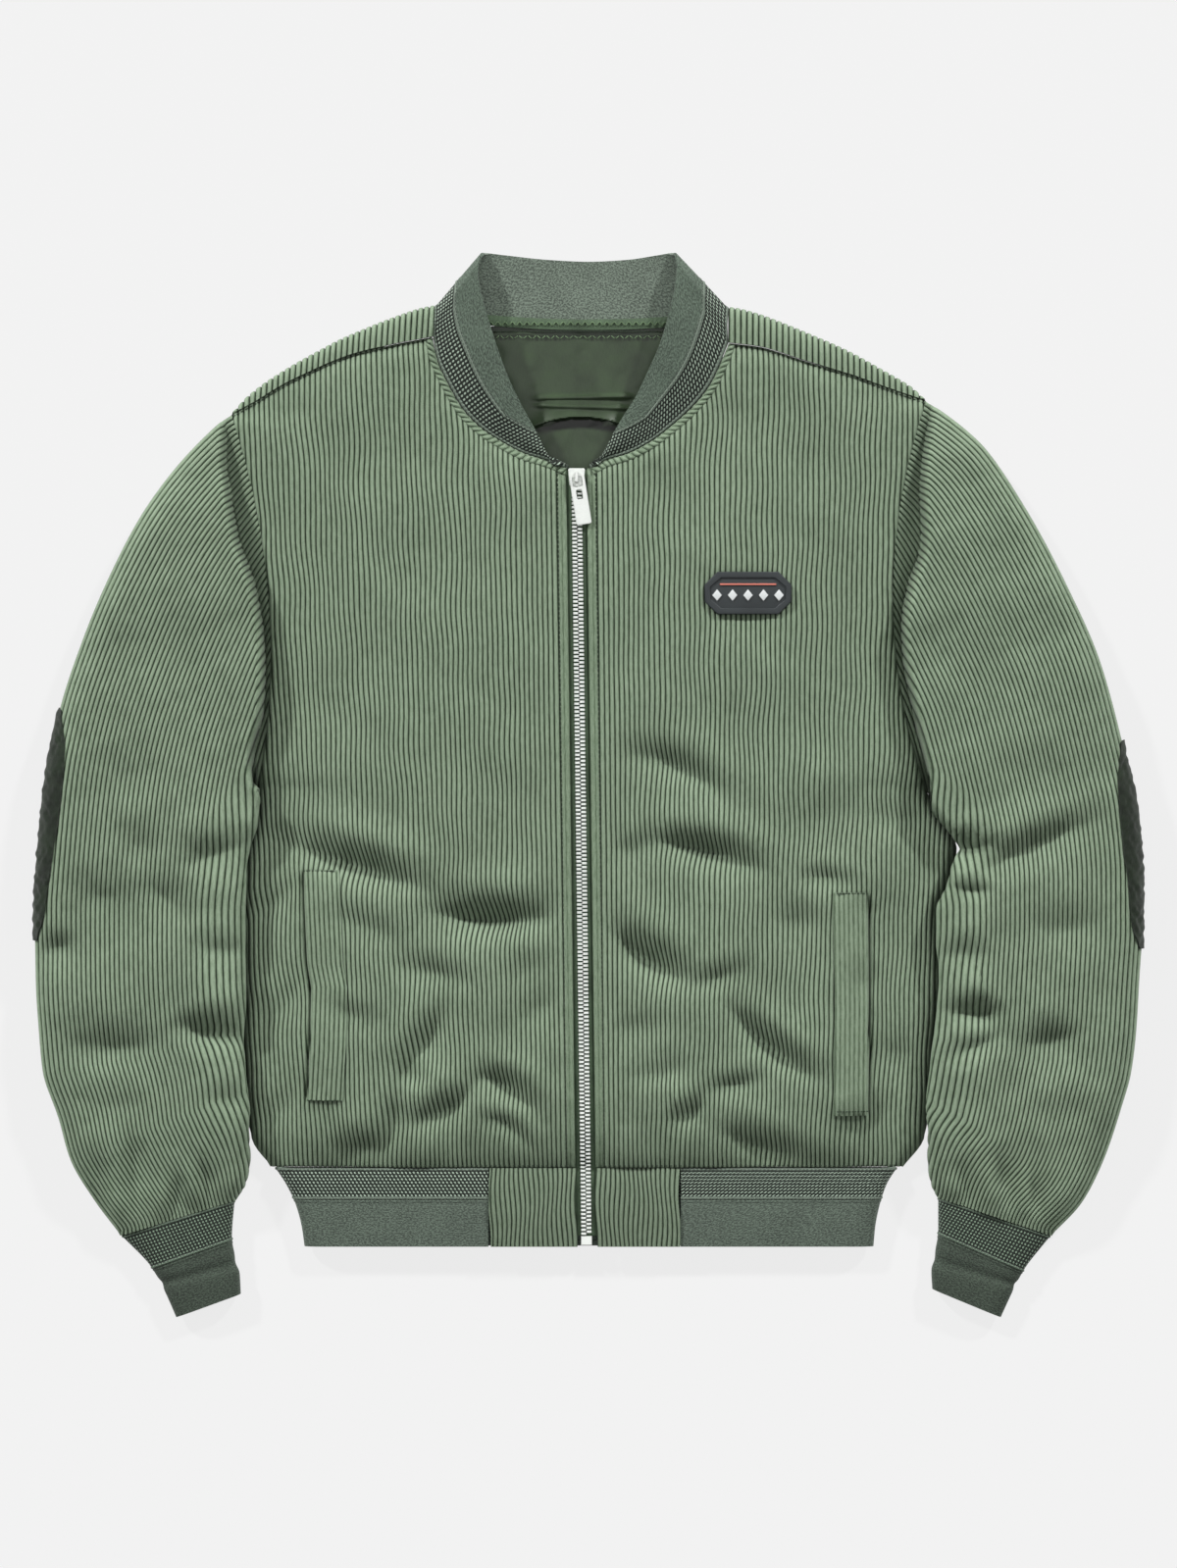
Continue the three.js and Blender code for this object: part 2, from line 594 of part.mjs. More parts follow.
function addYoke(name, side) {
  const top = side.shoulderRow.map((place) => place.clone().add(point(0, SEAM * 1.2, 0)));
  const tip = side.armhole.place(side.armhole.width, side.armhole.edgeZ(side.armhole.width));
  const neck = YOKE_NECK[name];
  const count = top.length;
  const inward = side.toBody * SEAM;
  const fractions = [0.45, 0.82, 1];
  const rows = [top];
  fractions.forEach((fraction) => {
    rows.push(top.map((start, j) => {
      const share = j / (count - 1);
      const along = THREE.MathUtils.clamp((start.x - tip.x) / (neck.x - tip.x), 0, 1);
      const edge = point(lerp(tip.x + inward, neck.x, along), lerp(tip.y, neck.y, along), 0);
      edge.y += YOKE_BOW * Math.sin(Math.PI * along);
      const crown = start.z + 1.5 * share;
      const place = start.clone().lerp(edge, fraction);
      place.z = lerp(YOKE_EDGE_Z, crown, rounded(1 - fraction, 0.8)) + (fraction === 1 ? 0 : 0.8);
      return place;
    }));
  });
  const edge = rows[rows.length - 1];
  [[0.12, 0.5], [0.4, 0.12], [0.6, 0], [1, 0]].forEach(([reach, height]) => {
    rows.push(edge.map((place, j) => {
      const lower = place.clone();
      lower.y -= YOKE_UNDER * reach;
      lower.x += side.toBody * YOKE_UNDER * reach * 0.25 * (1 - j / (count - 1));
      lower.z = place.z * height;
      return lower;
    }));
  });
  addWall(`yoke_${name}`, rows, CLOTH, cloth('corduroy'), { face: side.toBody });
  side.yokeUnderRow = rows[rows.length - 1];
  side.yokeNeckEnd = rows.map((row) => row[count - 1]);
}

// Hem band: a ring from one corduroy block round the back to the other, and the two blocks

const HEM_BLOCK = { left: { x: -71.4 }, right: { x: 65.8 } };
const HEM_ROLL = 14;

function hemCurves() {
  return {
    left: columnCurve([...HEM_SIDE].reverse(), 'y', 'left'),
    right: columnCurve([...HEM_SIDE].reverse(), 'y', 'right'),
    z: columnCurve([...HEM_SIDE].reverse(), 'y', 'z'),
  };
}

function addHem() {
  const curves = hemCurves();
  const ys = HEM_SIDE.map((row) => row.y);
  const rows = ys.map((y) => {
    const left = curves.left(y);
    const right = curves.right(y);
    const height = curves.z(y);
    const edgeZ = height / 2;
    const spread = [0, 0.17, 0.34, 0.5, 0.66, 0.83, 1];
    const roll = ROLL_SHARES.map((share) => share * HEM_ROLL);
    const topLeft = spread.map((t) => point(lerp(HEM_BLOCK.left.x, left + HEM_ROLL, t), y, height));
    const turn = (edge, inward) => [
      ...[...roll].reverse().slice(1).map((d) => (
        point(edge + inward * d, y, lerp(edgeZ, height, rounded(d, HEM_ROLL)))
      )),
      point(edge, y, edgeZ),
      ...roll.map((d) => point(edge + inward * d * 0.6, y, edgeZ * (1 - rounded(d, HEM_ROLL)))),
    ];
    const rightTurn = turn(right, -1).reverse();
    const underLeft = left + HEM_ROLL * 0.6;
    const underRight = right - HEM_ROLL * 0.6;
    const under = [0.2, 0.4, 0.6, 0.8].map((t) => point(lerp(underLeft, underRight, t), y, 0));
    const topRight = spread.map((t) => point(lerp(right - HEM_ROLL, HEM_BLOCK.right.x, t), y, height));
    return [...topLeft, ...turn(left, 1), ...under, ...rightTurn, ...topRight];
  });
  addWall('hem_rib', rows, RIB, cloth('rib'), { face: 1 });

  Object.entries(sides).forEach(([name, side]) => {
    const block = HEM_BLOCK[name].x + side.toBody * SEAM;
    const blockRows = ys.map((y) => {
      const zipEdge = zipX(y) - side.toBody * ZIP_CLEAR;
      return [0, 0.25, 0.5, 0.75, 1].map((t) => point(lerp(block, zipEdge, t), y, curves.z(y)));
    });
    addWall(`hem_block_${name}`, blockRows, RIB, cloth('corduroy'), { face: -side.toBody });
  });
}

// Collar: one ring round the neck, face up in front and face down at the back

function addCollar() {
  const strips = [];
  const shares = [0, 0.33, 0.67, 1];
  const stripOf = (seam, edge, swell) => shares.map((share) => {
    const place = seam.clone().lerp(edge, share);
    place.z += swell * Math.sin(Math.PI * share);
    return place;
  });
  const frontStrips = (side) => {
    const numbers = side.collarEdge.map((_, i) => i / (side.collarEdge.length - 1));
    const edgeAt = ['x', 'y', 'z'].map((key) => curveThrough(numbers, side.collarEdge.map((row) => row[key])));
    const neckRows = side.frontRows.slice(-side.neckAlongs.length);
    return neckRows.map((row, i) => {
      const along = side.neckAlongs[i];
      const seam = row[row.length - 1].clone();
      const away = neckNormal(side, along);
      seam.addScaledVector(away, SEAM * 1.4);
      const edge = point(...edgeAt.map((curve) => curve(along)));
      return stripOf(seam, edge, 1.5);
    });
  };
  strips.push(...frontStrips(sides.left));
  COLLAR_TURN.forEach((row) => {
    const low = row.seamZ < 7;
    strips.push(stripOf(
      point(row.seamX, row.seamY, row.seamZ),
      point(row.edgeX, row.edgeY, row.edgeZ),
      low ? 0 : 1,
    ));
  });
  strips.push(...frontStrips(sides.right).reverse());
  addWall('collar', strips, RIB, cloth('rib'), { face: 1 });
}

function neckNormal(side, along) {
  const step = 0.02;
  const before = neckPoint(side, Math.max(along - step, 0));
  const after = neckPoint(side, Math.min(along + step, 1));
  const run = after.sub(before).normalize();
  return point(run.y, -run.x, 0).multiplyScalar(side.toBody);
}

// Back panel: one flat piece under the fronts, and the lining that shows in the neck

const BACK_INSET = 0.35;
const UNDERARM_CLEAR = 6;

function outlineShape(places) {
  return new THREE.Shape(places.map((place) => new THREE.Vector2(place.x, place.y)));
}

// Moves each corner of an outline that runs anticlockwise inwards
function inset(places, distance) {
  const count = places.length;
  return places.map((place, i) => {
    const before = places[(i + count - 1) % count];
    const after = places[(i + 1) % count];
    const run = after.clone().sub(before).normalize();
    return point(place.x - run.y * distance, place.y + run.x * distance, 0);
  });
}

function addBack() {
  const sideOutline = (side) => {
    const curve = columnCurve(side.side, 'y', 'x');
    const low = FRONT_LOW_YS.map((y) => point(curve(y), y, 0));
    const steps = 12;
    const { width } = side.armhole;
    const armhole = [];
    for (let i = 0; i <= steps; i += 1) {
      const place = side.armhole.place(lerp(UNDERARM_CLEAR, width - UNDER_ROLL - YOKE_UNDER, i / steps), 0);
      place.x += side.toBody * 2 * SEAM;
      armhole.push(place);
    }
    const yoke = side.yokeUnderRow.filter((_, j) => j % 3 === 2).map((place) => place.clone().setZ(0));
    yoke.forEach((place) => { place.y -= 1; });
    return [...low, ...armhole, ...yoke];
  };
  const neckline = COLLAR_TURN.slice(3, -3).map((row) => point(row.seamX, row.seamY - 0.8, 0));
  const outline = [
    ...sideOutline(sides.right),
    ...neckline.reverse(),
    ...sideOutline(sides.left).reverse(),
  ];
  const geometry = new THREE.ExtrudeGeometry(outlineShape(inset(outline, BACK_INSET)), {
    depth: CLOTH, bevelEnabled: false, curveSegments: 1,
  });
  addMesh('back', geometry, cloth('corduroy'));

  const lining = new THREE.Shape();
  lining.moveTo(-86, 318);
  lining.quadraticCurveTo(0, 328, 80, 318);
  lining.quadraticCurveTo(74, 262, 30, 208);
  lining.lineTo(-44, 208);
  lining.quadraticCurveTo(-86, 258, -86, 318);
  const liningGeometry = new THREE.ExtrudeGeometry(lining, { depth: THIN, bevelEnabled: false, curveSegments: 6 });
  liningGeometry.translate(0, 0, CLOTH + SEAM);
  addMesh('lining_back', liningGeometry, cloth('lining', 0.5));

  const tapeRows = [[328.6, 333.5], [321, 325]].map(([middleY, endY]) => (
    [-74, -50, -25, 0, 25, 50, 70].map((x) => point(x, lerp(middleY, endY, (x / 74) ** 2), TAPE_TOP))
  ));
  addWall('neck_tape', tapeRows, THIN, cloth('tape'), { face: -1 });
}

const TAPE_TOP = CLOTH + 2 * THIN + 2 * SEAM;

// Zip: tapes under the fronts' edges, rows of teeth, bottom box, slider and pull tab

const ZIP_YS = [224, 200, 170, 140, 105, 70, 35, 0, -35, -70, -105, -140, -175, -210, -235, -250, -262, -273];
const ZIP_BOTTOM_Y = -322;

function zipHeight(y) {
  return y > HEM_SEAM_Y ? bodyCrown(y) : hemCurves().z(y);
}

function zipStrip(name, from, to, rise, thickness, top, material) {
  const ys = [top, ...ZIP_YS.filter((y) => y < top), -288, -305, ZIP_BOTTOM_Y];
  const rows = ys.map((y) => [from, to].map((offset) => point(zipX(y) + offset, y, zipHeight(y) + rise)));
  addWall(name, rows, thickness, material, { upright: true });
}

const TAPE_DROP = RIB + 2 * SEAM;
const TEETH_RISE = 0.2;
const TEETH_WALL = TAPE_DROP + TEETH_RISE - SEAM;
const SLIDER = { y: 218.7, length: 13, width: 12, plate: 1.4, arch: 3, archWidth: 2.6 };
const CHAIN_TOP_Y = SLIDER.y + 1;

function addZipStrips() {
  Object.entries(sides).forEach(([name, side]) => {
    const outward = -side.toBody;
    zipStrip(`zip_tape_${name}`, outward * 0.5, outward * 12, -TAPE_DROP, THIN, 224, cloth('tape'));
    zipStrip(
      `zip_teeth_${name}`, outward * 0.15, outward * TEETH_HALF, TEETH_RISE, TEETH_WALL, CHAIN_TOP_Y,
      cloth('teeth', 0.4, 0.8),
    );
  });
  const stop = new THREE.BoxGeometry(8, 6.4, 3.2);
  const y = ZIP_BOTTOM_Y - 3.6;
  stop.translate(zipX(y), y, zipHeight(y) - 1);
  addMesh('zip_stop', stop, cloth('metal', 0.4, 0.9));
}

function solidOf(geometry) {
  const bare = geometry.index ? geometry.toNonIndexed() : geometry.clone();
  bare.deleteAttribute('normal');
  bare.deleteAttribute('uv');
  const merged = mergeVertices(bare, 1e-4);
  return new wasm.Manifold(new wasm.Mesh({
    numProp: 3,
    vertProperties: new Float32Array(merged.attributes.position.array),
    triVerts: new Uint32Array(merged.index.array),
  }));
}

function geometryOfSolid(solid) {
  const mesh = solid.getMesh();
  const geometry = new THREE.BufferGeometry();
  geometry.setAttribute('position', new THREE.BufferAttribute(new Float32Array(mesh.vertProperties), 3));
  geometry.setIndex(new THREE.BufferAttribute(new Uint32Array(mesh.triVerts), 1));
  geometry.computeVertexNormals();
  return geometry;
}

function block(width, length, height, x, y, bottom) {
  const geometry = new THREE.BoxGeometry(width, length, height);
  geometry.translate(x, y, bottom + height / 2);
  return geometry;
}

function addSlider() {
  const { y, length, width, plate, arch, archWidth } = SLIDER;
  const x = zipX(y);
  const chainTop = zipHeight(y - length / 2) + TEETH_RISE;
  const plateBottom = chainTop + SEAM;
  const outline = new THREE.Shape();
  outline.moveTo(-width / 2, length / 2);
  outline.lineTo(width / 2, length / 2);
  outline.lineTo(width * 0.42, -length / 2 + 1);
  outline.lineTo(width * 0.36, -length / 2);
  outline.lineTo(-width * 0.36, -length / 2);
  outline.lineTo(-width * 0.42, -length / 2 + 1);
  outline.closePath();
  const topPlate = new THREE.ExtrudeGeometry(outline, { depth: plate, bevelEnabled: false });
  topPlate.translate(x, y, plateBottom);
  const tapeBottom = zipHeight(y + length / 2) - TAPE_DROP - THIN;
  const lowPlate = new THREE.ExtrudeGeometry(outline, { depth: plate, bevelEnabled: false });
  lowPlate.translate(x, y, tapeBottom - SEAM - plate);
  const postY = y + length / 2 - 1.2;
  const lowBottom = tapeBottom - SEAM - plate;
  const post = block(0.8, 2, plateBottom + plate - lowBottom, x, postY, lowBottom);
  const archBottom = plateBottom + plate - 0.2;
  const legSpan = 7;
  const legs = [-1, 1].map((end) => block(archWidth, 1.4, arch + 0.2, x, y + end * legSpan / 2, archBottom));
  const roof = block(archWidth, legSpan + 1.4, 1.2, x, y, archBottom + arch);
  const solid = [lowPlate, post, ...legs, roof].reduce(
    (sum, geometry) => sum.add(solidOf(geometry)), solidOf(topPlate),
  );
  addMesh('zip_slider', geometryOfSolid(solid), cloth('metal', 0.35, 0.9));
  return { x, y: y + 1, z: plateBottom + plate + 1.45 };
}

const PULL = { length: 36, width: 11, bar: 1.8, window: 7, windowWidth: 6.4, thickness: 1.5, tilt: 9.1 };

function roundedRectangle(target, left, bottom, right, top, radius) {
  target.moveTo(left + radius, bottom);
  target.lineTo(right - radius, bottom);
  target.quadraticCurveTo(right, bottom, right, bottom + radius);
  target.lineTo(right, top - radius);
  target.quadraticCurveTo(right, top, right - radius, top);
  target.lineTo(left + radius, top);
  target.quadraticCurveTo(left, top, left, top - radius);
  target.lineTo(left, bottom + radius);
  target.quadraticCurveTo(left, bottom, left + radius, bottom);
}

// The pull tab hangs by its top bar in the slider's arch
function addPull(axis) {
  const { length, width, bar, window: opening, windowWidth, thickness, tilt } = PULL;
  const shape = new THREE.Shape();
  roundedRectangle(shape, -width / 2, bar / 2 - length, width / 2, bar / 2, 1.6);
  const slot = new THREE.Path();
  roundedRectangle(slot, -windowWidth / 2, -bar / 2 - opening, windowWidth / 2, -bar / 2, 1);
  const key = new THREE.Path();
  roundedRectangle(key, -2, -bar / 2 - opening - 9, 2, -bar / 2 - opening - 2.2, 0.9);
  shape.holes.push(slot, key);
  const geometry = new THREE.ExtrudeGeometry(shape, { depth: thickness, bevelEnabled: false, curveSegments: 3 });
  geometry.translate(0, 0, -thickness / 2);
  const pull = addMesh('zip_pull', geometry, cloth('metal', 0.3, 0.9));
  pull.position.set(axis.x, axis.y, axis.z);
  pull.rotation.z = THREE.MathUtils.degToRad(tilt);
}

// Pieces that lie on a front: their points are the front's own height, moved up

function onFront(x, y, rise) {
  return point(x, y, bodyHeight(x, y) + rise);
}

const WELT_WALL = 1.2;
const WELT_RISE = WELT_WALL + 3 * SEAM;
const WELTS = {
  left: { xs: [-203, -195.5, -188, -178], top: -61, bottom: -225 },
  right: { xs: [175, 183, 191, 199], top: -77, bottom: -236 },
};

function addWelt(name, side) {
  const { xs, top, bottom } = WELTS[name];
  const ys = [top, ...FRONT_LOW_YS.filter((y) => y < top - 3 && y > bottom + 3).reverse(), bottom];
  const rows = ys.map((y) => xs.map((x) => onFrontMesh(side, x, y, WELT_RISE)));
  addWall(`pocket_welt_${name}`, rows, WELT_WALL, cloth('corduroy'), { face: -1, upright: true });
}

// The front's own face below a place, read from its rows
function onFrontMesh(side, x, y, rise) {
  const rows = side.frontRows;
  for (let i = 0; i < rows.length - 1; i += 1) {
    for (let j = 0; j < rows[i].length - 1; j += 1) {
      const corners = [rows[i][j], rows[i][j + 1], rows[i + 1][j + 1], rows[i + 1][j]];
      for (const [a, b, c] of [[0, 1, 2], [0, 2, 3]]) {
        const flat = [a, b, c].map((k) => corners[k].clone().setZ(0));
        const weights = THREE.Triangle.getBarycoord(point(x, y, 0), ...flat, point(0, 0, 0));
        if (weights && Math.min(weights.x, weights.y, weights.z) >= -1e-9) {
          const z = corners[a].z * weights.x + corners[b].z * weights.y + corners[c].z * weights.z;
          return point(x, y, z + rise);
        }
      }
    }
  }
  return onFront(x, y, rise);
}

const BADGE = { left: 82.6, right: 144.2, bottom: 121.1, top: 151.2, corner: 9, thickness: 1.6, rim: 0.8 };

function addBadge(side) {
  const { left, right, bottom, top, corner, thickness, rim } = BADGE;
  const lastRow = 5;
  const lastColumn = 8;
  const rows = [];
  for (let i = 0; i <= lastRow; i += 1) {
    const v = i / lastRow;
    const y = lerp(bottom, top, v);
    const cut = corner * Math.max(0, Math.abs(v - 0.5) * 2 - 0.35) / 0.65;
    const row = [];
    for (let j = 0; j <= lastColumn; j += 1) {
      const x = lerp(left + cut, right - cut, j / lastColumn);
      const border = i === 0 || i === lastRow || j === 0 || j === lastColumn;
      row.push(onFrontMesh(side, x, y, SEAM + 0.4 + thickness + (border ? rim : 0)));
    }
    rows.push(row);
  }
  addWall('badge', rows, thickness, cloth('badge', 0.5), { face: 1, upright: true });
}

Object.entries(sides).forEach(([name, side]) => {
  addSleeve(name, side);
  addFront(name, side);
  addYoke(name, side);
  addWelt(name, side);
});
addHem();
addCollar();
addBack();
addZipStrips();
addPull(addSlider());
addBadge(sides.right);

export default jacket;
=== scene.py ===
import math

import bmesh
import bpy
import numpy as np
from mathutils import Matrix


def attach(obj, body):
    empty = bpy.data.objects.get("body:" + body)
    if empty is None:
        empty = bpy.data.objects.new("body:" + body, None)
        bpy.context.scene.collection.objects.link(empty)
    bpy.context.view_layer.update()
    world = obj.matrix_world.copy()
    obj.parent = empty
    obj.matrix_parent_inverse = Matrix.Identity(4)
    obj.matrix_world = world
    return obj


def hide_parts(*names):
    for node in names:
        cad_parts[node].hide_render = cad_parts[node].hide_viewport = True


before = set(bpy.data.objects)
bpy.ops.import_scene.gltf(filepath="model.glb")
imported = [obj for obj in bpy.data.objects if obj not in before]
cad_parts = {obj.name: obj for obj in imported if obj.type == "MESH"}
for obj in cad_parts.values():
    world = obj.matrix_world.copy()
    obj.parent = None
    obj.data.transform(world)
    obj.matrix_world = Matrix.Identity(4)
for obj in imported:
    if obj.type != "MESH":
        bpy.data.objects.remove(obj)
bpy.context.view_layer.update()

SEED = 7
MM = 0.001

# Sizes in millimetres. Those that the solids also have are the same there.

CLOTH = 1.6
RIB = 2.2
SEAM = 0.3
ZIP_LEAN = 0.013
ZIP_TOP_X = -8.4
ZIP_TOP_Y = 210
ZIP_CLEAR = 7.2
HEM_SEAM_Y = -273
SLEEVE_ROLL = 22
UNDER_ROLL = 9
SEAM_DIP = 3
DIP_REACH = 6
OVERHANG = 8
PLACKET = 6.5
PLACKET_DEPTH = 0.8
SLIT_DEPTH = 3.2
BODY_LENGTH = 560
SLEEVE_HIGH = 31.5          # the sleeve's crown beside the body
STRIP_HIGH = 12             # the sleeve's cloth in the dip at the armhole's seam
STRIP_FALL = 3

# A front's side, below the armpit and above it: the share of its height in its turned edge, that edge's
# roll, and where the rest of the height comes in behind it

ARMPIT_Y = (-20, 60)
TURNED_SHARE = (0.45, 0.25)
TURN_ROLL = (12, 8)
TUCK_REACH = (12, 88)

# The wales: their height, and the width of each on the pieces

WALE_DEPTH = 1.05
HEM_PITCH = 3.34
NECK_PITCH = 3.72
SLEEVE_PITCH = 3.4
WELT_PITCH = 3.4
BACK_PITCH = 3.5
BACK_WALE = 0.85
BACK_LIFT = 0.9
YOKE_WALE = 1.5
BLOCK_WALE = 1.1
YOKE_PITCH = 4.7
NECK_PUFF = 4.4

# From the seam to the piping on each band of rib

CUFF_PIPING = 27
HEM_PIPING = 21.5
COLLAR_PIPING = 17

PULL_HINGE = (-8.5131, 219.7, 23.4927)
PULL_TILT = math.radians(9.1)
SLIDER_Y = 218.7
ZIP_STOP_Y = -325.6
TOOTH_PITCH = 2.8
BADGE_BOX = (82.6, 144.2, 121.1, 151.2)     # left, right, bottom and top
BADGE_CORNER = 9
WALE_STEPS = 6
ROW_STEP = 4


def table(columns, rows):
    return {name: np.array([row[i] for row in rows], float) for i, name in enumerate(columns.split())}


BODY_CROWN = table("y z", [
    (-273, 12.5), (-262, 17.5), (-245, 22), (-215, 25.5), (-100, 27), (0, 26.5), (120, 24.5),
    (190, 21.5), (240, 18.5), (300, 16.5), (345, 15.5),
])
SIDE = {
    "left": table("y x", [
        (-273, -227), (-252, -240.5), (-210, -246), (-140, -247.6), (-70, -247.4), (-49, -244.8),
        (-32, -240), (-17, -238.2), (0, -234.9),
    ]),
    "right": table("y x", [
        (-273, 224.2), (-252, 239.5), (-203, 246), (-172, 249.5), (-140, 252.3), (-112, 250.5),
        (-91, 250.5), (-75, 257), (-60, 261), (-45, 262.5), (-33, 257.5), (-22, 250.5), (-12, 244.5),
        (0, 239.1),
    ]),
}
NECK = {
    "left": table("x y", [
        (-15, 225.4), (-29.4, 231), (-45.5, 235.9), (-61.6, 244.3), (-75, 253), (-88.9, 266.7),
        (-100.1, 285.6), (-108, 303), (-111.3, 319.2),
    ]),
    "right": table("x y", [
        (1.5, 225.4), (12, 231), (28, 236), (44.1, 244.3), (58.8, 255.5), (74.9, 270.2),
        (86.1, 284.2), (94, 300), (100.1, 315),
    ]),
}
SHOULDER = {
    "left": table("along rise", [(0, 0), (0.2, 5.5), (0.45, 10), (0.7, 8), (0.9, 2.5), (1, 0)]),
    "right": table("along rise", [(0, 0), (0.2, 4), (0.4, 3), (0.6, 3), (0.8, 1.5), (1, 0)]),
}
YOKE_EDGE = {
    "left": table("along rise", [
        (0, 0), (0.08, 6.5), (0.2, 10.3), (0.35, 11.8), (0.5, 12), (0.65, 10.2), (0.8, 7.2),
        (0.93, 3.5), (1, 0),
    ]),
    "right": table("along rise", [
        (0, 0), (0.08, 4.8), (0.2, 6.8), (0.42, 9), (0.6, 8), (0.8, 6), (0.93, 3), (1, 0),
    ]),
}
SECTION = "innerX innerY outerX outerY crown innerZ outerZ bow"
SLEEVE = {
    "left": table(SECTION, [
        (-235.2, 0, -254.8, 263.9, 12, 7, 8, 17), (-239.4, -10.5, -260.4, 260.4, 18, 8, 8, 13),
        (-241.5, -17.5, -287, 234.5, 24, 9, 9, 8), (-242.2, -24.5, -316.4, 196, 27.5, 9, 9, 2),
        (-242.9, -31.5, -341.6, 148.4, 30, 9, 9, 0), (-245, -38.5, -361.2, 101.5, 31, 9, 9, 0),
        (-247.8, -49, -376.6, 54.6, 32, 9, 9, 0), (-249.9, -63, -386.4, 7, 32, 9, 9, 0),
        (-249.9, -84, -392, -47.6, 31, 9, 9, 0), (-249.9, -108.5, -394.8, -91, 30, 9, 9, 0),
        (-249.9, -140, -394.1, -140, 30, 9, 9, 0), (-249.9, -171.5, -392, -175, 29, 9, 9, 0),
        (-249.2, -203, -389.2, -204.4, 28, 9, 9, 0), (-244.3, -238, -378, -238, 26, 9, 9, 0),
        (-242.2, -266, -369.6, -267.4, 23, 9, 9, 0), (-245, -283.5, -353.5, -295.4, 19, 8, 8, 0),
        (-252.7, -296.8, -333.9, -322, 13, 6.5, 6.5, 0),
    ]),
    "right": table(SECTION, [
        (239.4, 0, 240.8, 273.7, 12, 7, 8, -23), (247.1, -12.6, 250.6, 267.4, 18, 8, 8, -21),
        (253.4, -22.4, 280, 242.9, 24, 9, 9, -12), (260.4, -31.5, 312.2, 196, 27.5, 9, 9, -3),
        (266, -40.6, 340.2, 143.5, 30, 9, 9, 0), (267.4, -49, 364, 89.6, 31, 9, 9, 0),
        (264.6, -61.6, 380.1, 31.5, 32, 9, 9, 0), (261.1, -73.5, 391.3, -21, 32, 9, 9, 0),
        (253.4, -91, 394.8, -66.5, 31, 9, 9, 0), (253.4, -112, 394.8, -101.5, 30, 9, 9, 0),
        (255.5, -140, 392.7, -140, 30, 9, 9, 0), (252, -171.5, 390.6, -175, 29, 9, 9, 0),
        (248.5, -203, 387.1, -204.4, 28, 9, 9, 0), (243.6, -238, 379.4, -232.4, 26, 9, 9, 0),
        (242.9, -266, 368.2, -266, 23, 9, 9, 0), (245, -283.5, 352.1, -298.2, 19, 8, 8, 0),
        (249.9, -294.7, 330.4, -322, 13, 6.5, 6.5, 0),
    ]),
}
CUFF = {
    "left": table(SECTION, [
        (-252.9, -297.2, -333.6, -322.6, 13, 6.5, 6.5, 0),
        (-254.8, -323.4, -312.9, -344.4, 13.5, 6.5, 6.5, 0),
        (-249.2, -350, -302.4, -363.3, 13, 6.5, 6.5, 0), (-248.5, -364, -294.7, -380.8, 12, 6, 6, 0),
    ]),
    "right": table(SECTION, [
        (249.9, -295.3, 330.2, -322.6, 13, 6.5, 6.5, 0), (249.9, -319.2, 311.5, -346.5, 13.5, 6.5, 6.5, 0),
        (245, -346.5, 303.1, -362.6, 13, 6.5, 6.5, 0), (245.7, -360.5, 294.7, -380.8, 12, 6, 6, 0),
    ]),
}
HEM_SIDE = table("y left right z", [
    (-273.8, -224, 220.5, 12.5), (-286, -216, 213, 13.5), (-301, -209, 208, 13.5),
    (-316, -205, 205, 13), (-330, -203, 203.7, 12),
])
HEM_BLOCK = {"left": -71.4, "right": 65.8}
COLLAR_EDGE = {
    "left": table("x y z", [
        (-25, 229.5, 17.5), (-29.4, 236, 18.5), (-37, 251, 20.5), (-48, 271, 22.5), (-58, 292, 23.5),
        (-66, 314, 23.5), (-72.8, 336, 22.5), (-77, 352, 21), (-79, 363, 19.5),
    ]),
    "right": table("x y z", [
        (7.5, 231.5, 17.5), (13, 241, 18.5), (22, 258, 20.5), (34, 277, 22.5), (43, 296, 23.5),
        (51, 314, 23.5), (56.5, 332, 22.5), (60.5, 349, 21), (62.6, 362, 19.5),
    ]),
}
COLLAR_TURN = table("seamX seamY seamZ edgeX edgeY edgeZ", [
    (-110.2, 330, 14, -78.4, 372, 18), (-109.8, 341, 8, -76.5, 379.5, 12), (-103, 341, 2.2, -72.6, 380, 5.6),
    (-84, 333, 0.6, -58, 378.4, 3), (-45, 328.5, 0.3, -30, 375.4, 2.2), (0, 327.5, 0.3, 0, 374, 2),
    (42, 328.5, 0.3, 28, 375.4, 2.2), (78, 333, 0.6, 48, 378.4, 3), (94, 340, 2.2, 58.6, 380, 5.6),
    (100.2, 340, 8, 62.5, 379.5, 12), (99, 328, 14, 63.4, 372, 18),
])
TO_BODY = {"left": 1, "right": -1}

# The open edge of each pocket
SLITS = {
    "left": table("y x", [(-225, -201), (-189, -198.8), (-144, -197.6), (-128, -200.6), (-64, -203.6)]),
    "right": table("y x", [(-233, 199.5), (-160, 200.2), (-80, 199)]),
}

# Folds in the photo's pixels. They run over a bend, with the side above them on their left. depth, above
# and below, how far a fold reaches to each side, are in millimetres.

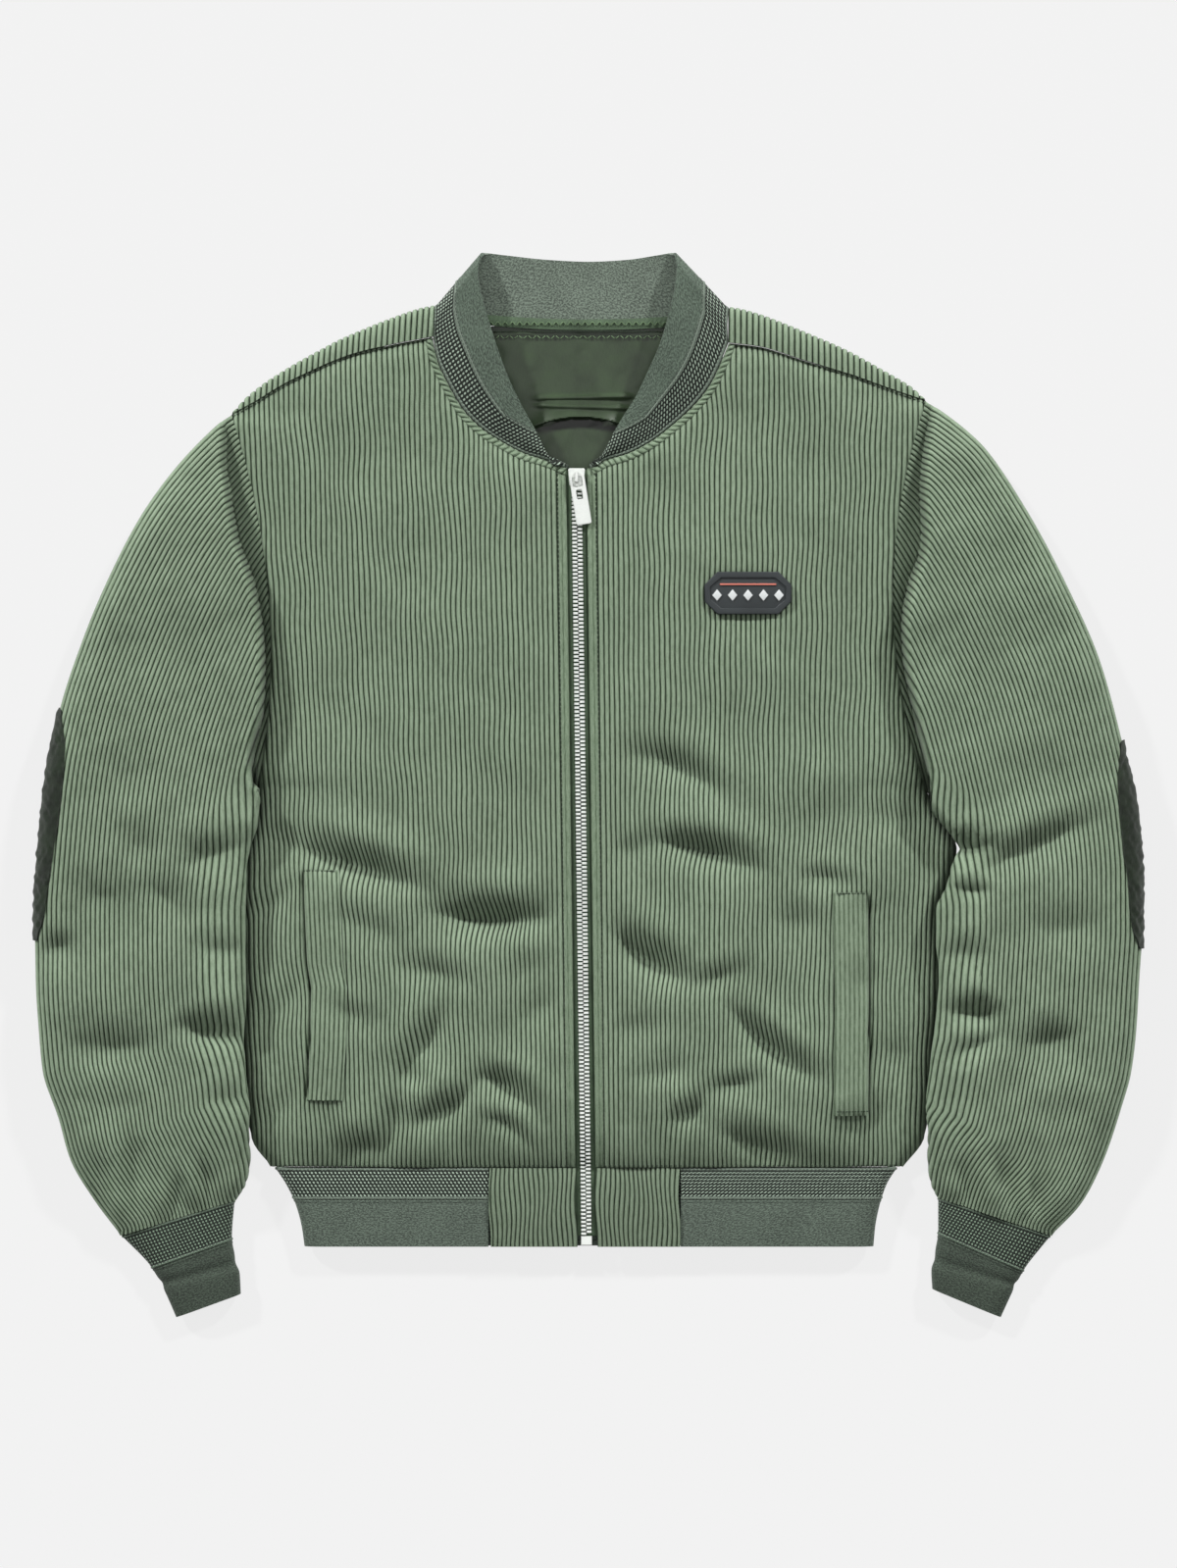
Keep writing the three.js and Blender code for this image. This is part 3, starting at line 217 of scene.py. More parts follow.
PIXEL = 0.70
MIDDLE = (600, 800)
FOLD = "startX startY bendX bendY endX endY depth above below"
BELOW_SOFTER = 2.4
FOLD_DEPTH = 1.1
FOLD_LONGER = 0.22
BODY_FOLDS = table(FOLD, [
    (262, 852, 350, 878, 452, 912, 12, 11, 4), (425, 924, 485, 960, 592, 930, 12, 12, 4),
    (243, 941, 276, 936, 313, 886, 6, 8, 5), (382, 984, 440, 985, 494, 1007, 4, 8, 5),
    (400, 1102, 440, 1078, 459, 1014, 7, 9, 4), (404, 1092, 425, 1102, 442, 1097, 4, 7, 4),
    (381, 1187, 412, 1152, 408, 1100, 6, 10, 5), (410, 1147, 462, 1148, 491, 1096, 8, 9, 4),
    (478, 1100, 520, 1083, 554, 1144, 8, 8, 4), (483, 1143, 520, 1122, 547, 1177, 4, 5, 4),
    (328, 1164, 365, 1182, 402, 1165, 4, 9, 5), (505, 1002, 550, 988, 588, 962, 2, 10, 9),
    (628, 768, 700, 764, 750, 824, 6, 9, 4), (800, 842, 850, 815, 892, 838, 2.5, 14, 12),
    (652, 858, 715, 854, 788, 894, 10, 9, 4), (806, 897, 840, 889, 877, 903, 4, 6, 4),
    (610, 936, 655, 990, 710, 1005, 11, 11, 4), (698, 1005, 730, 1001, 768, 984, 4, 7, 4),
    (736, 1020, 775, 1070, 838, 1104, 10, 8, 3.5), (633, 1095, 680, 1106, 708, 1084, 4, 12, 3),
    (676, 1140, 712, 1152, 719, 1107, 6, 7, 4), (712, 1109, 745, 1113, 788, 1095, 4, 6, 4),
    (720, 1145, 765, 1178, 838, 1183, 6, 10, 4), (850, 1002, 880, 1014, 906, 990, 3, 12, 10),
    (395, 545, 470, 575, 560, 560, 1.5, 22, 18), (690, 410, 760, 432, 835, 420, 2, 16, 14),
    (266, 1046, 296, 1040, 314, 984, 5, 10, 5), (264, 1152, 292, 1140, 314, 1088, 5, 9, 5),
    (326, 930, 372, 934, 424, 972, 3, 8, 6), (328, 1016, 356, 1046, 396, 1040, 3, 7, 6),
    (512, 1046, 548, 1040, 592, 1002, 3, 9, 7), (560, 1098, 580, 1092, 592, 1076, 3, 7, 5),
    (878, 826, 908, 846, 946, 838, 5, 9, 6), (888, 1062, 912, 1082, 940, 1078, 4, 9, 6),
    (616, 1052, 650, 1040, 684, 1056, 3, 8, 6), (774, 935, 812, 950, 850, 936, 3, 10, 7),
    (612, 862, 640, 874, 668, 866, 3, 8, 6), (846, 1160, 882, 1150, 912, 1120, 4, 9, 6),
])
SLEEVE_FOLDS = {
    "left": table(FOLD, [
        (146, 890, 165, 915, 198, 942, 6, 12, 6), (178, 886, 215, 882, 254, 850, 7, 11, 8),
        (176, 1038, 205, 1062, 248, 1062, 10, 12, 4), (55, 1056, 110, 1086, 182, 1062, 7, 12, 9),
        (36, 962, 60, 974, 84, 960, 5, 8, 6), (138, 1244, 143, 1190, 133, 1128, 4, 6, 6),
        (213, 1234, 212, 1205, 204, 1176, 3.5, 4, 4), (175, 1247, 178, 1220, 183, 1192, 3, 4, 4),
        (110, 1236, 105, 1200, 94, 1168, 2.5, 5, 5), (120, 870, 150, 852, 172, 862, 3, 12, 10),
        (60, 900, 100, 930, 150, 912, 4, 12, 9), (70, 1120, 120, 1140, 160, 1120, 3, 10, 8),
        (190, 960, 222, 978, 250, 966, 4, 9, 7), (200, 1120, 228, 1128, 250, 1116, 3, 8, 6),
        (96, 780, 136, 800, 190, 782, 2.5, 16, 12), (150, 650, 190, 690, 240, 690, 2, 18, 14),
    ]),
    "right": table(FOLD, [
        (960, 848, 990, 894, 1018, 850, 12, 13, 4), (984, 902, 1040, 856, 1140, 830, 8, 9, 6),
        (976, 902, 995, 917, 1014, 905, 5, 6, 4), (968, 1027, 1005, 1047, 1024, 1027, 10, 10, 4),
        (970, 1082, 1000, 1058, 1032, 1052, 6, 7, 4), (1028, 1062, 1070, 1072, 1108, 1050, 7, 11, 8),
        (1029, 1236, 1022, 1205, 1015, 1168, 4, 5, 4), (1056, 1240, 1055, 1222, 1051, 1192, 3.5, 4, 4),
        (990, 1238, 985, 1210, 977, 1182, 3, 5, 5), (1040, 940, 1084, 962, 1130, 940, 4, 12, 9),
        (1040, 1130, 1080, 1146, 1120, 1126, 3, 10, 8), (960, 970, 990, 982, 1018, 968, 4, 9, 7),
        (1000, 780, 1050, 800, 1100, 776, 2.5, 16, 12), (960, 690, 1000, 706, 1044, 690, 2, 18, 14),
    ]),
}

# How far from the armhole seam a sleeve's own edge lies over it, at each height
SLEEVE_OVER = {
    "left": table("y reach", [
        (-5, 5), (23, 8), (52, 4.5), (99, 5.5), (140, 10), (180, 18), (222, 16), (250, 9), (266, 5),
    ]),
    "right": table("y reach", [
        (-5, 5), (54, 7), (83, 6), (115, 7), (141, 12), (170, 20), (214, 13), (258, 7), (276, 5),
    ]),
}

# Curves and profiles


def curve(knots, values):
    """A smooth curve through the knots that doesn't overshoot them."""
    k, v = np.asarray(knots, float), np.asarray(values, float)
    if k[0] > k[-1]:
        k, v = k[::-1], v[::-1]
    slope = np.diff(v) / np.diff(k)
    before, after = slope[:-1], slope[1:]
    same = before * after > 0
    inner = np.where(same, 2 * before * after / np.where(same, before + after, 1), 0)
    tangent = np.concatenate([slope[:1], inner, slope[-1:]])

    def at(x):
        i = np.clip(np.searchsorted(k, x, side="right") - 1, 0, len(k) - 2)
        span = k[i + 1] - k[i]
        t = np.clip((np.asarray(x, float) - k[i]) / span, 0, 1)
        return (v[i] * (2 * t**3 - 3 * t**2 + 1) + v[i + 1] * (3 * t**2 - 2 * t**3)
                + span * (tangent[i] * (t**3 - 2 * t**2 + t) + tangent[i + 1] * (t**3 - t**2)))

    return at


def section_curves(rows):
    numbers = np.arange(len(next(iter(rows.values()))))
    return {name: curve(numbers, values) for name, values in rows.items()}


def lerp(a, b, t):
    return a + (b - a) * t


def smooth(x, low, high):
    t = np.clip((x - low) / (high - low), 0, 1)
    return t * t * (3 - 2 * t)


def rounded(distance, reach):
    inward = 1 - np.clip(distance / reach, 0, 1)
    return np.sqrt(np.maximum(1 - inward * inward, 0))


def bump(distance, reach):
    return np.exp(-((distance / reach) ** 2))


def nearest(x, y, line):
    """Distance to a chain of points, its sign, positive on the left, and the share along it."""
    best = np.full(np.shape(x), 1e9)
    sign = np.ones(np.shape(x))
    along = np.zeros(np.shape(x))
    count = len(line) - 1
    for i, (a, b) in enumerate(zip(line[:-1], line[1:])):
        run = b - a
        t = np.clip(((x - a[0]) * run[0] + (y - a[1]) * run[1]) / max(run @ run, 1e-9), 0, 1)
        away = np.hypot(x - a[0] - t * run[0], y - a[1] - t * run[1])
        closer = away < best
        best = np.where(closer, away, best)
        sign = np.where(closer, np.where(run[0] * (y - a[1]) - run[1] * (x - a[0]) >= 0, 1, -1), sign)
        along = np.where(closer, (i + t) / count, along)
    return best, sign, along


def fold_sum(folds, x, y):
    """How far the folds lower the cloth: a steep side above a sharp valley, with a crest over it."""
    total = np.zeros(np.shape(x))
    t = np.linspace(0, 1, 9)[:, None]
    for row in zip(*folds.values()):
        px, py = (np.array(row[0:6:2]) - MIDDLE[0]) * PIXEL, (MIDDLE[1] - np.array(row[1:6:2])) * PIXEL
        depth, above, below = row[6:]
        start, bend, end = np.stack([px, py], -1)
        start, end = start + FOLD_LONGER * (start - bend), end + FOLD_LONGER * (end - bend)
        line = (1 - t) ** 2 * start + 2 * t * (1 - t) * bend + t**2 * end
        away, sign, along = nearest(x, y, line)
        fade = smooth(along, 0, 0.5) * smooth(1 - along, 0, 0.5)
        reach = np.where(sign > 0, above, BELOW_SOFTER * below)
        valley = np.exp(-((away / reach) ** 1.5))
        crest = 0.3 * bump(sign * away - 2.1 * above, 1.1 * above)
        total += FOLD_DEPTH * depth * fade * (valley - crest)
    return total


def soft_noise(x, y, size, seed):
    """A smooth uneven field of about -1 to 1."""
    rng = np.random.default_rng(SEED + seed)
    total = np.zeros(np.shape(x))
    for _ in range(7):
        angle, phase = rng.uniform(0, math.tau, 2)
        wave = rng.uniform(0.6, 1.6) / size * math.tau
        total += np.sin(wave * (x * math.cos(angle) + y * math.sin(angle)) + phase)
    return total / 3.5


def zip_x(y):
    return ZIP_TOP_X + ZIP_LEAN * (ZIP_TOP_Y - y)


body_crown = curve(BODY_CROWN["y"], BODY_CROWN["z"])
hem_z = curve(HEM_SIDE["y"], HEM_SIDE["z"])


def body_height(x, y):
    stiff = smooth(np.abs(x - zip_x(y)), ZIP_CLEAR, ZIP_CLEAR + 26)
    soft = 1.1 * soft_noise(x, y, 85, 1) + 0.3 * soft_noise(x, y, 28, 3)
    return body_crown(y) - stiff * (fold_sum(BODY_FOLDS, x, y) - soft)


# Materials


class Nodes:
    """Short names for building a material from maths and patterns."""

    def __init__(self, name, roughness=0.9, metallic=0.0, sheen=0.0):
        self.material = bpy.data.materials.new(name)
        self.material.use_nodes = True
        self.tree = self.material.node_tree
        self.shader = next(n for n in self.tree.nodes if n.type == "BSDF_PRINCIPLED")
        self.shader.inputs["Roughness"].default_value = roughness
        self.shader.inputs["Metallic"].default_value = metallic
        self.shader.inputs["Sheen Weight"].default_value = sheen
        self.shader.inputs["Sheen Roughness"].default_value = 0.5

    def put(self, socket, value):
        if isinstance(value, bpy.types.NodeSocket):
            self.tree.links.new(value, socket)
        elif value is not None:
            socket.default_value = value

    def node(self, kind, **inputs):
        made = self.tree.nodes.new(kind)
        for key, value in inputs.items():
            self.put(made.inputs[key.replace("_", " ")], value)
        return made

    def math(self, operation, *values):
        made = self.tree.nodes.new("ShaderNodeMath")
        made.operation = operation
        for socket, value in zip(made.inputs, values):
            self.put(socket, value)
        return made.outputs[0]

    def grain(self):
        """The across, along and relief values of each point, in millimetres and from 0 to 1."""
        made = self.node("ShaderNodeAttribute")
        made.attribute_name = "grain"
        parts = self.node("ShaderNodeSeparateXYZ", Vector=made.outputs["Vector"])
        return made.outputs["Vector"], parts.outputs[0], parts.outputs[1], parts.outputs[2]

    def place(self, scale=(1, 1, 1), vector=None):
        if vector is None:
            vector = self.node("ShaderNodeTexCoord").outputs["Object"]
        mapping = self.node("ShaderNodeMapping", Vector=vector)
        mapping.inputs["Scale"].default_value = scale
        return mapping.outputs[0]

    def noise(self, vector, size, detail=2.0, rough=0.5):
        made = self.node("ShaderNodeTexNoise", Vector=vector, Scale=size, Detail=detail, Roughness=rough)
        return made.outputs["Fac"]

    def ramp(self, value, *stops):
        made = self.tree.nodes.new("ShaderNodeValToRGB")
        elements = made.color_ramp.elements
        while len(elements) < len(stops):
            elements.new(0.5)
        for element, (position, colour) in zip(elements, stops):
            element.position = position
            element.color = colour if len(colour) == 4 else (*colour, 1)
        self.put(made.inputs[0], value)
        return made.outputs["Color"]

    def range(self, value, low, high, to_low=0.0, to_high=1.0):
        made = self.tree.nodes.new("ShaderNodeMapRange")
        made.interpolation_type = "SMOOTHSTEP"
        for socket, number in zip(made.inputs, (value, low, high, to_low, to_high)):
            self.put(socket, number)
        return made.outputs[0]

    def mix(self, share, a, b, blend="MIX"):
        made = self.tree.nodes.new("ShaderNodeMix")
        made.data_type = "RGBA"
        made.blend_type = blend
        for name, value in (("Factor", share), ("A", a), ("B", b)):
            kind = "VALUE" if name == "Factor" else "RGBA"
            socket = next(s for s in made.inputs if s.name == name and s.type == kind)
            self.put(socket, (*value, 1) if isinstance(value, tuple) and len(value) == 3 else value)
        return next(s for s in made.outputs if s.type == "RGBA")

    def painted_crease_shade(self, colour, reach=0.03, least=0.4):
        """The colour with painted shade: deeper where the cloth folds in and light hardly reaches."""
        hollow = self.node("ShaderNodeAmbientOcclusion", Distance=reach)
        hollow.samples = 6
        open_share = self.range(hollow.outputs["AO"], 0.25, 0.92, least, 1.0)
        return self.mix(1.0, colour, self.node("ShaderNodeCombineColor", Red=open_share, Green=open_share,
                                               Blue=open_share).outputs[0], "MULTIPLY")

    def finish(self, colour, height=None, strength=0.3, distance=0.0003, roughness=None):
        self.put(self.shader.inputs["Base Color"], colour)
        self.put(self.shader.inputs["Roughness"], roughness)
        if height is not None:
            made = self.node("ShaderNodeBump", Height=height, Strength=strength, Distance=distance)
            self.tree.links.new(made.outputs[0], self.shader.inputs["Normal"])
        return self.material


def rgb(red, green, blue, lift=1.0):
    """A screen colour from 0 to 255 as the light that it stands for."""
    parts = [c / 255 for c in (red, green, blue)]
    return tuple(lift * (c / 12.92 if c <= 0.04045 else ((c + 0.055) / 1.055) ** 2.4) for c in parts)


def times(colour, factor):
    return tuple(c * factor for c in colour)


def corduroy_material(name="corduroy_cloth", lift=0.78):
    m = Nodes(name, roughness=0.95, sheen=0.04)
    grain, _, _, relief = m.grain()
    pile = m.noise(m.place((2200, 2200, 1500)), 1.0, 3, 0.6)
    streak = m.noise(m.place((1.2, 0.12, 0), grain), 1.0, 3, 0.6)
    cloud = m.noise(m.place((28, 28, 28)), 1.0, 3, 0.55)
    tuft = m.noise(m.place((1.6, 0.8, 0), grain), 1.0, 2, 0.5)
    # The wale's relief picks the colour: painted shade in the grooves and painted light on the ridges.
    level = m.math("MULTIPLY_ADD", m.math("SUBTRACT", pile, 0.5), 0.7, relief)
    level = m.math("MULTIPLY_ADD", m.math("SUBTRACT", streak, 0.5), 0.8, level)
    colour = m.ramp(level, (0.0, rgb(26, 38, 23, lift)), (0.38, rgb(78, 97, 72, lift)),
                    (0.72, rgb(129, 150, 122, lift)), (1.0, rgb(160, 180, 153, lift)))
    tone = m.math("MULTIPLY_ADD", m.math("SUBTRACT", cloud, 0.5), 0.35, 0.5)
    tone = m.math("MULTIPLY_ADD", m.math("SUBTRACT", tuft, 0.5), 0.35, tone)
    shade = m.ramp(tone, (0.2, (0.72, 0.73, 0.71)), (0.5, (1, 1, 1)), (0.85, (1.2, 1.2, 1.22)))
    # Painted shade, deeper in the folds and creases of the cloth.
    colour = m.painted_crease_shade(m.mix(1.0, colour, shade, "MULTIPLY"))
    height = m.math("MULTIPLY_ADD", tuft, 0.7, pile)
    return m.finish(colour, height, 0.55, 0.0005)


def knit_material(name, dark, light, pitch_across, pitch_along, plain, inside):
    """Rib knit: flecks of light yarn in a staggered grid in the zone, and a fine even grid in the rest."""
    m = Nodes(name, roughness=0.9, sheen=0.15)
    grain, across, along, relief = m.grain()
    fibre = m.noise(m.place((2600, 2600, 2600)), 1.0, 3, 0.6)
    cloud = m.noise(m.place((45, 45, 45)), 1.0, 3, 0.55)

    def cell(value, pitch, shift=None):
        place = m.math("DIVIDE", value, pitch)
        if shift is not None:
            place = m.math("ADD", place, shift)
        return m.math("SUBTRACT", m.math("FRACT", place), 0.5)

    row = m.math("FLOOR", m.math("DIVIDE", along, pitch_along))
    odd = m.math("MULTIPLY", m.math("MODULO", m.math("ADD", row, 2000.0), 2.0), 0.5)
    u, v = cell(across, pitch_across, odd), cell(along, pitch_along)
    slanted = m.math("MULTIPLY_ADD", v, 0.4, u)
    away = m.math("SQRT", m.math("ADD", m.math("MULTIPLY", slanted, slanted),
                                 m.math("MULTIPLY", m.math("MULTIPLY", v, v), 0.6)))
    fleck = m.range(away, 0.16, 0.34, 1.0, 0.0)
    flecked = m.mix(fleck, dark, light)
    loops = m.noise(m.place((0.62, 0.95, 0), grain), 1.0, 1, 0.5)
    weave = m.range(loops, 0.34, 0.66, 0.1, 0.9)
    level = m.math("MULTIPLY_ADD", m.math("SUBTRACT", fibre, 0.5), 0.9, weave)
    level = m.math("MULTIPLY_ADD", m.math("SUBTRACT", cloud, 0.5), 0.5, level)

    def knitted(colour):
        return m.ramp(level, (0.0, times(colour, 0.5)), (0.5, colour), (1.0, times(colour, 1.5)))

    even = m.mix(m.range(relief, 0.08, 0.11), knitted(plain), knitted(inside))
    in_zone = m.range(relief, 0.24, 0.26)
    piping = m.range(relief, 0.74, 0.76)
    colour = m.mix(in_zone, even, flecked)
    colour = m.mix(piping, colour, tuple(0.42 * a + 0.1 * b for a, b in zip(light, dark)))
    height = m.math("ADD", m.math("MULTIPLY", fleck, in_zone), m.math("MULTIPLY", weave, 0.45))
    height = m.math("MULTIPLY_ADD", fibre, 0.3, height)
    return m.finish(colour, height, 0.6, 0.0006)


def satin_material(name, colour):
    """Smooth cloth with long soft clouds, fine threads and a painted shadow along the crease where the grain
    says.
    """
    m = Nodes(name, roughness=0.42)
    grain, _, _, painted_crease_shadow = m.grain()
    threads = m.noise(m.place((1.6, 0.25, 0), grain), 1.0, 3, 0.6)
    cloud = m.noise(m.place((0.05, 0.02, 0), grain), 1.0, 3, 0.55)
    level = m.math("MULTIPLY_ADD", m.math("SUBTRACT", threads, 0.5), 0.5, cloud)
    made = m.ramp(level, (0.25, times(colour, 0.72)), (0.75, times(colour, 1.3)))
    # Painted shadow below the crease.
    made = m.mix(m.range(painted_crease_shadow, 0.15, 0.85), made, times(colour, 0.12))
    # Painted shade where the satin folds in.
    return m.finish(m.painted_crease_shade(made, 0.015, 0.45), threads, 0.12, 0.0001)


def plain_material(name, colour, roughness=0.8, metallic=0.0, sheen=0.0, grain_size=1800, spread=0.25,
                   depth=0.0002, strength=0.3):
    m = Nodes(name, roughness=roughness, metallic=metallic, sheen=sheen)
    fine = m.noise(m.place((grain_size, grain_size, grain_size)), 1.0, 3, 0.6)
    broad = m.noise(m.place((60, 60, 60)), 1.0, 3, 0.5)
    level = m.math("MULTIPLY_ADD", m.math("SUBTRACT", fine, 0.5), 0.9, broad)
    made = m.ramp(level, (0.2, times(colour, 1 - spread)), (0.8, times(colour, 1 + spread)))
    return m.finish(made, fine, strength, depth)


# Meshes


def new_object(name, vertices, faces, material, grain=None, flat=False):
    mesh = bpy.data.meshes.new(name)
    mesh.from_pydata((np.asarray(vertices, float) * MM).tolist(), [], faces)
    if grain is not None:
        layer = mesh.attributes.new("grain", "FLOAT_VECTOR", "POINT")
        layer.data.foreach_set("vector", np.asarray(grain, np.float32).ravel())
    work = bmesh.new()
    work.from_mesh(mesh)
    bmesh.ops.remove_doubles(work, verts=work.verts, dist=2e-6)
    bmesh.ops.dissolve_degenerate(work, edges=work.edges, dist=1e-7)
    bmesh.ops.recalc_face_normals(work, faces=work.faces)
    work.to_mesh(mesh)
    work.free()
    mesh.materials.append(material)
    if not flat:
        mesh.polygons.foreach_set("use_smooth", [True] * len(mesh.polygons))
        mesh.set_sharp_from_angle(angle=math.radians(70))
    made = bpy.data.objects.new(name, mesh)
    bpy.context.collection.objects.link(made)
    return made


def unit(v):
    return v / np.maximum(np.linalg.norm(v, axis=-1, keepdims=True), 1e-9)


def facing(places, way):
    """The same direction for each place: straight up for 1, straight down for -1."""
    return np.broadcast_to((0.0, 0.0, float(way)), places.shape)


def grid_normals(surface, u, v, du, dv, face):
    """Outward directions of a surface of two values, from places a little to each side."""
    run_u = surface(u + du, v) - surface(u - du, v)
    run_v = surface(u, v + dv) - surface(u, v - dv)
    return unit(np.cross(run_u, run_v)) * face


def every(count, step):
    picked = list(range(0, count, step))
    if picked[-1] != count - 1:
        picked.append(count - 1)
    return picked


def shell(name, outer, base, normals, thickness, material, grain, ring=False, row_step=1, column_step=6,
          lowest=None):
    """A closed wall: a fine outer face, a plainer inner face and the rims between them."""
    rows, columns = outer.shape[:2]
    picked_rows = every(rows, row_step)
    picked = every(columns, column_step) if not ring else list(range(0, columns, column_step))
    inner = base[np.ix_(picked_rows, picked)] - normals[np.ix_(picked_rows, picked)] * thickness
    if lowest is not None:
        inner[..., 2] = np.maximum(inner[..., 2], lowest)
    vertices = np.concatenate([outer.reshape(-1, 3), inner.reshape(-1, 3)])
    grains = np.concatenate([grain.reshape(-1, 3), grain[np.ix_(picked_rows, picked)].reshape(-1, 3)])
    first = rows * columns
    width = len(picked)

    def out(i, j):
        return i * columns + j % columns

    def inn(i, j):
        return first + i * width + j % width

    faces = []
    wide = columns if ring else columns - 1
    for i in range(rows - 1):
        faces += [(out(i, j), out(i, j + 1), out(i + 1, j + 1), out(i + 1, j)) for j in range(wide)]
    cells = width if ring else width - 1
    for i in range(len(picked_rows) - 1):
        faces += [(inn(i, j), inn(i + 1, j), inn(i + 1, j + 1), inn(i, j + 1)) for j in range(cells)]
    for row, end in ((0, 0), (rows - 1, len(picked_rows) - 1)):
        for j in range(cells):
            a, b = picked[j], (picked[j + 1] if j + 1 < width else columns)
            chain = [out(row, k) for k in range(a, b + 1)]
            faces.append(chain + [inn(end, j + 1), inn(end, j)])
    if not ring:
        for column, end in ((0, 0), (columns - 1, width - 1)):
            for i in range(len(picked_rows) - 1):
                chain = [out(k, column) for k in range(picked_rows[i], picked_rows[i + 1] + 1)]
                faces.append(chain + [inn(i + 1, end), inn(i, end)])
    return new_object(name, vertices, faces, material, grains)


def wale_height(across, pitch, depth):
    """The rounded ridges of corduroy: 0 in a groove and up to depth on a ridge, and the same from 0 to 1."""
    place = np.mod(across / pitch, 1)
    share = np.sqrt(np.maximum(1 - (2 * place - 1) ** 2, 0))
    return depth * share, share


def settle(made, body, slot_name, *nodes):
    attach(made, body)
    if nodes:
        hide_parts(*nodes)
    return made


def wale_pitch(y):
    return lerp(HEM_PITCH, NECK_PITCH, np.clip((y - HEM_SEAM_Y) / BODY_LENGTH, 0, 1))


# Sleeves and cuffs


class Sleeve:
    """A flattened tube through the sections of a table."""

    def __init__(self, rows, folds=None, over=None, steps=400):
        self.at = section_curves(rows)
        self.face = 1 if rows["outerX"][0] < 0 else -1
        self.folds = folds
        self.over = None if over is None else curve(over["y"], over["reach"])
        self.last = len(rows["crown"]) - 1
        s = np.linspace(0, self.last, steps)
        self.outline = np.stack([self.at["outerX"](s), self.at["outerY"](s)], -1)
        self.seam = np.stack(self.place(np.zeros(40), np.linspace(0, self.width(0.0), 40)), -1)

    def width(self, s):
        at = self.at
        return np.hypot(at["outerX"](s) - at["innerX"](s), at["outerY"](s) - at["innerY"](s))

    def place(self, s, d):
        t = d / self.width(s)
        x = lerp(self.at["innerX"](s), self.at["outerX"](s), t) + 4 * self.at["bow"](s) * t * (1 - t)
        return x, lerp(self.at["innerY"](s), self.at["outerY"](s), t)

    def edge_z(self, s, d):
        return lerp(self.at["innerZ"](s), self.at["outerZ"](s), d / self.width(s))

    def top(self, s, d):
        width = self.width(s)
        roll = np.minimum(SLEEVE_ROLL, 0.3 * width)
        x, y = self.place(s, d)
        share = rounded(d, 0.45 * roll) * rounded(width - d, roll)
        height = self.at["crown"](s)
        if self.folds is not None:
            raised = smooth(1 - d / width, 0.02, 0.3) * smooth(5 - s, 0, 3)
            height = lerp(height, np.maximum(height, SLEEVE_HIGH), raised)
            height = height - fold_sum(self.folds, x, y)
            height = height + 1.1 * soft_noise(x, y, 80, 2) + 0.3 * soft_noise(x, y, 28, 4)
            away = nearest(x, y, self.seam)[0]
            reach = self.over(y)
            strip = STRIP_HIGH - STRIP_FALL * smooth(away, 0, reach)
            height = lerp(strip, height, smooth(away, reach - 1, reach + 3.5))
        z = lerp(self.edge_z(s, d), height, share)
        if self.folds is not None:
            over = OVERHANG * smooth(s, 0.3, 2) * smooth(14 - s, 0, 1.5)
            x = x + self.face * over * smooth(z, 11, 24) * (1 - smooth(d, 5, 32))
        return np.stack([x, y, z], -1)

    def bottom(self, s, d):
        width = self.width(s)
        under = np.minimum(UNDER_ROLL, 0.15 * width)
        x, y = self.place(s, d)
        share = rounded(d, under) * rounded(width - d, under)
        return np.stack([x, y, self.edge_z(s, d) * (1 - share)], -1)

    def sections(self, step):
        """Sections about a step apart along the longer edge."""
        s = np.linspace(0, self.last, 2000)
        runs = [np.hypot(np.diff(self.at[a](s)), np.diff(self.at[b](s)))
                for a, b in (("innerX", "innerY"), ("outerX", "outerY"))]
        finer = 1 + 1.5 * (s[1:] < 2.2) * (self.folds is not None)
        length = np.concatenate([[0], np.cumsum(np.maximum(*runs) * finer)])
        return np.interp(np.linspace(0, length[-1], int(length[-1] / step) + 1), length, s)


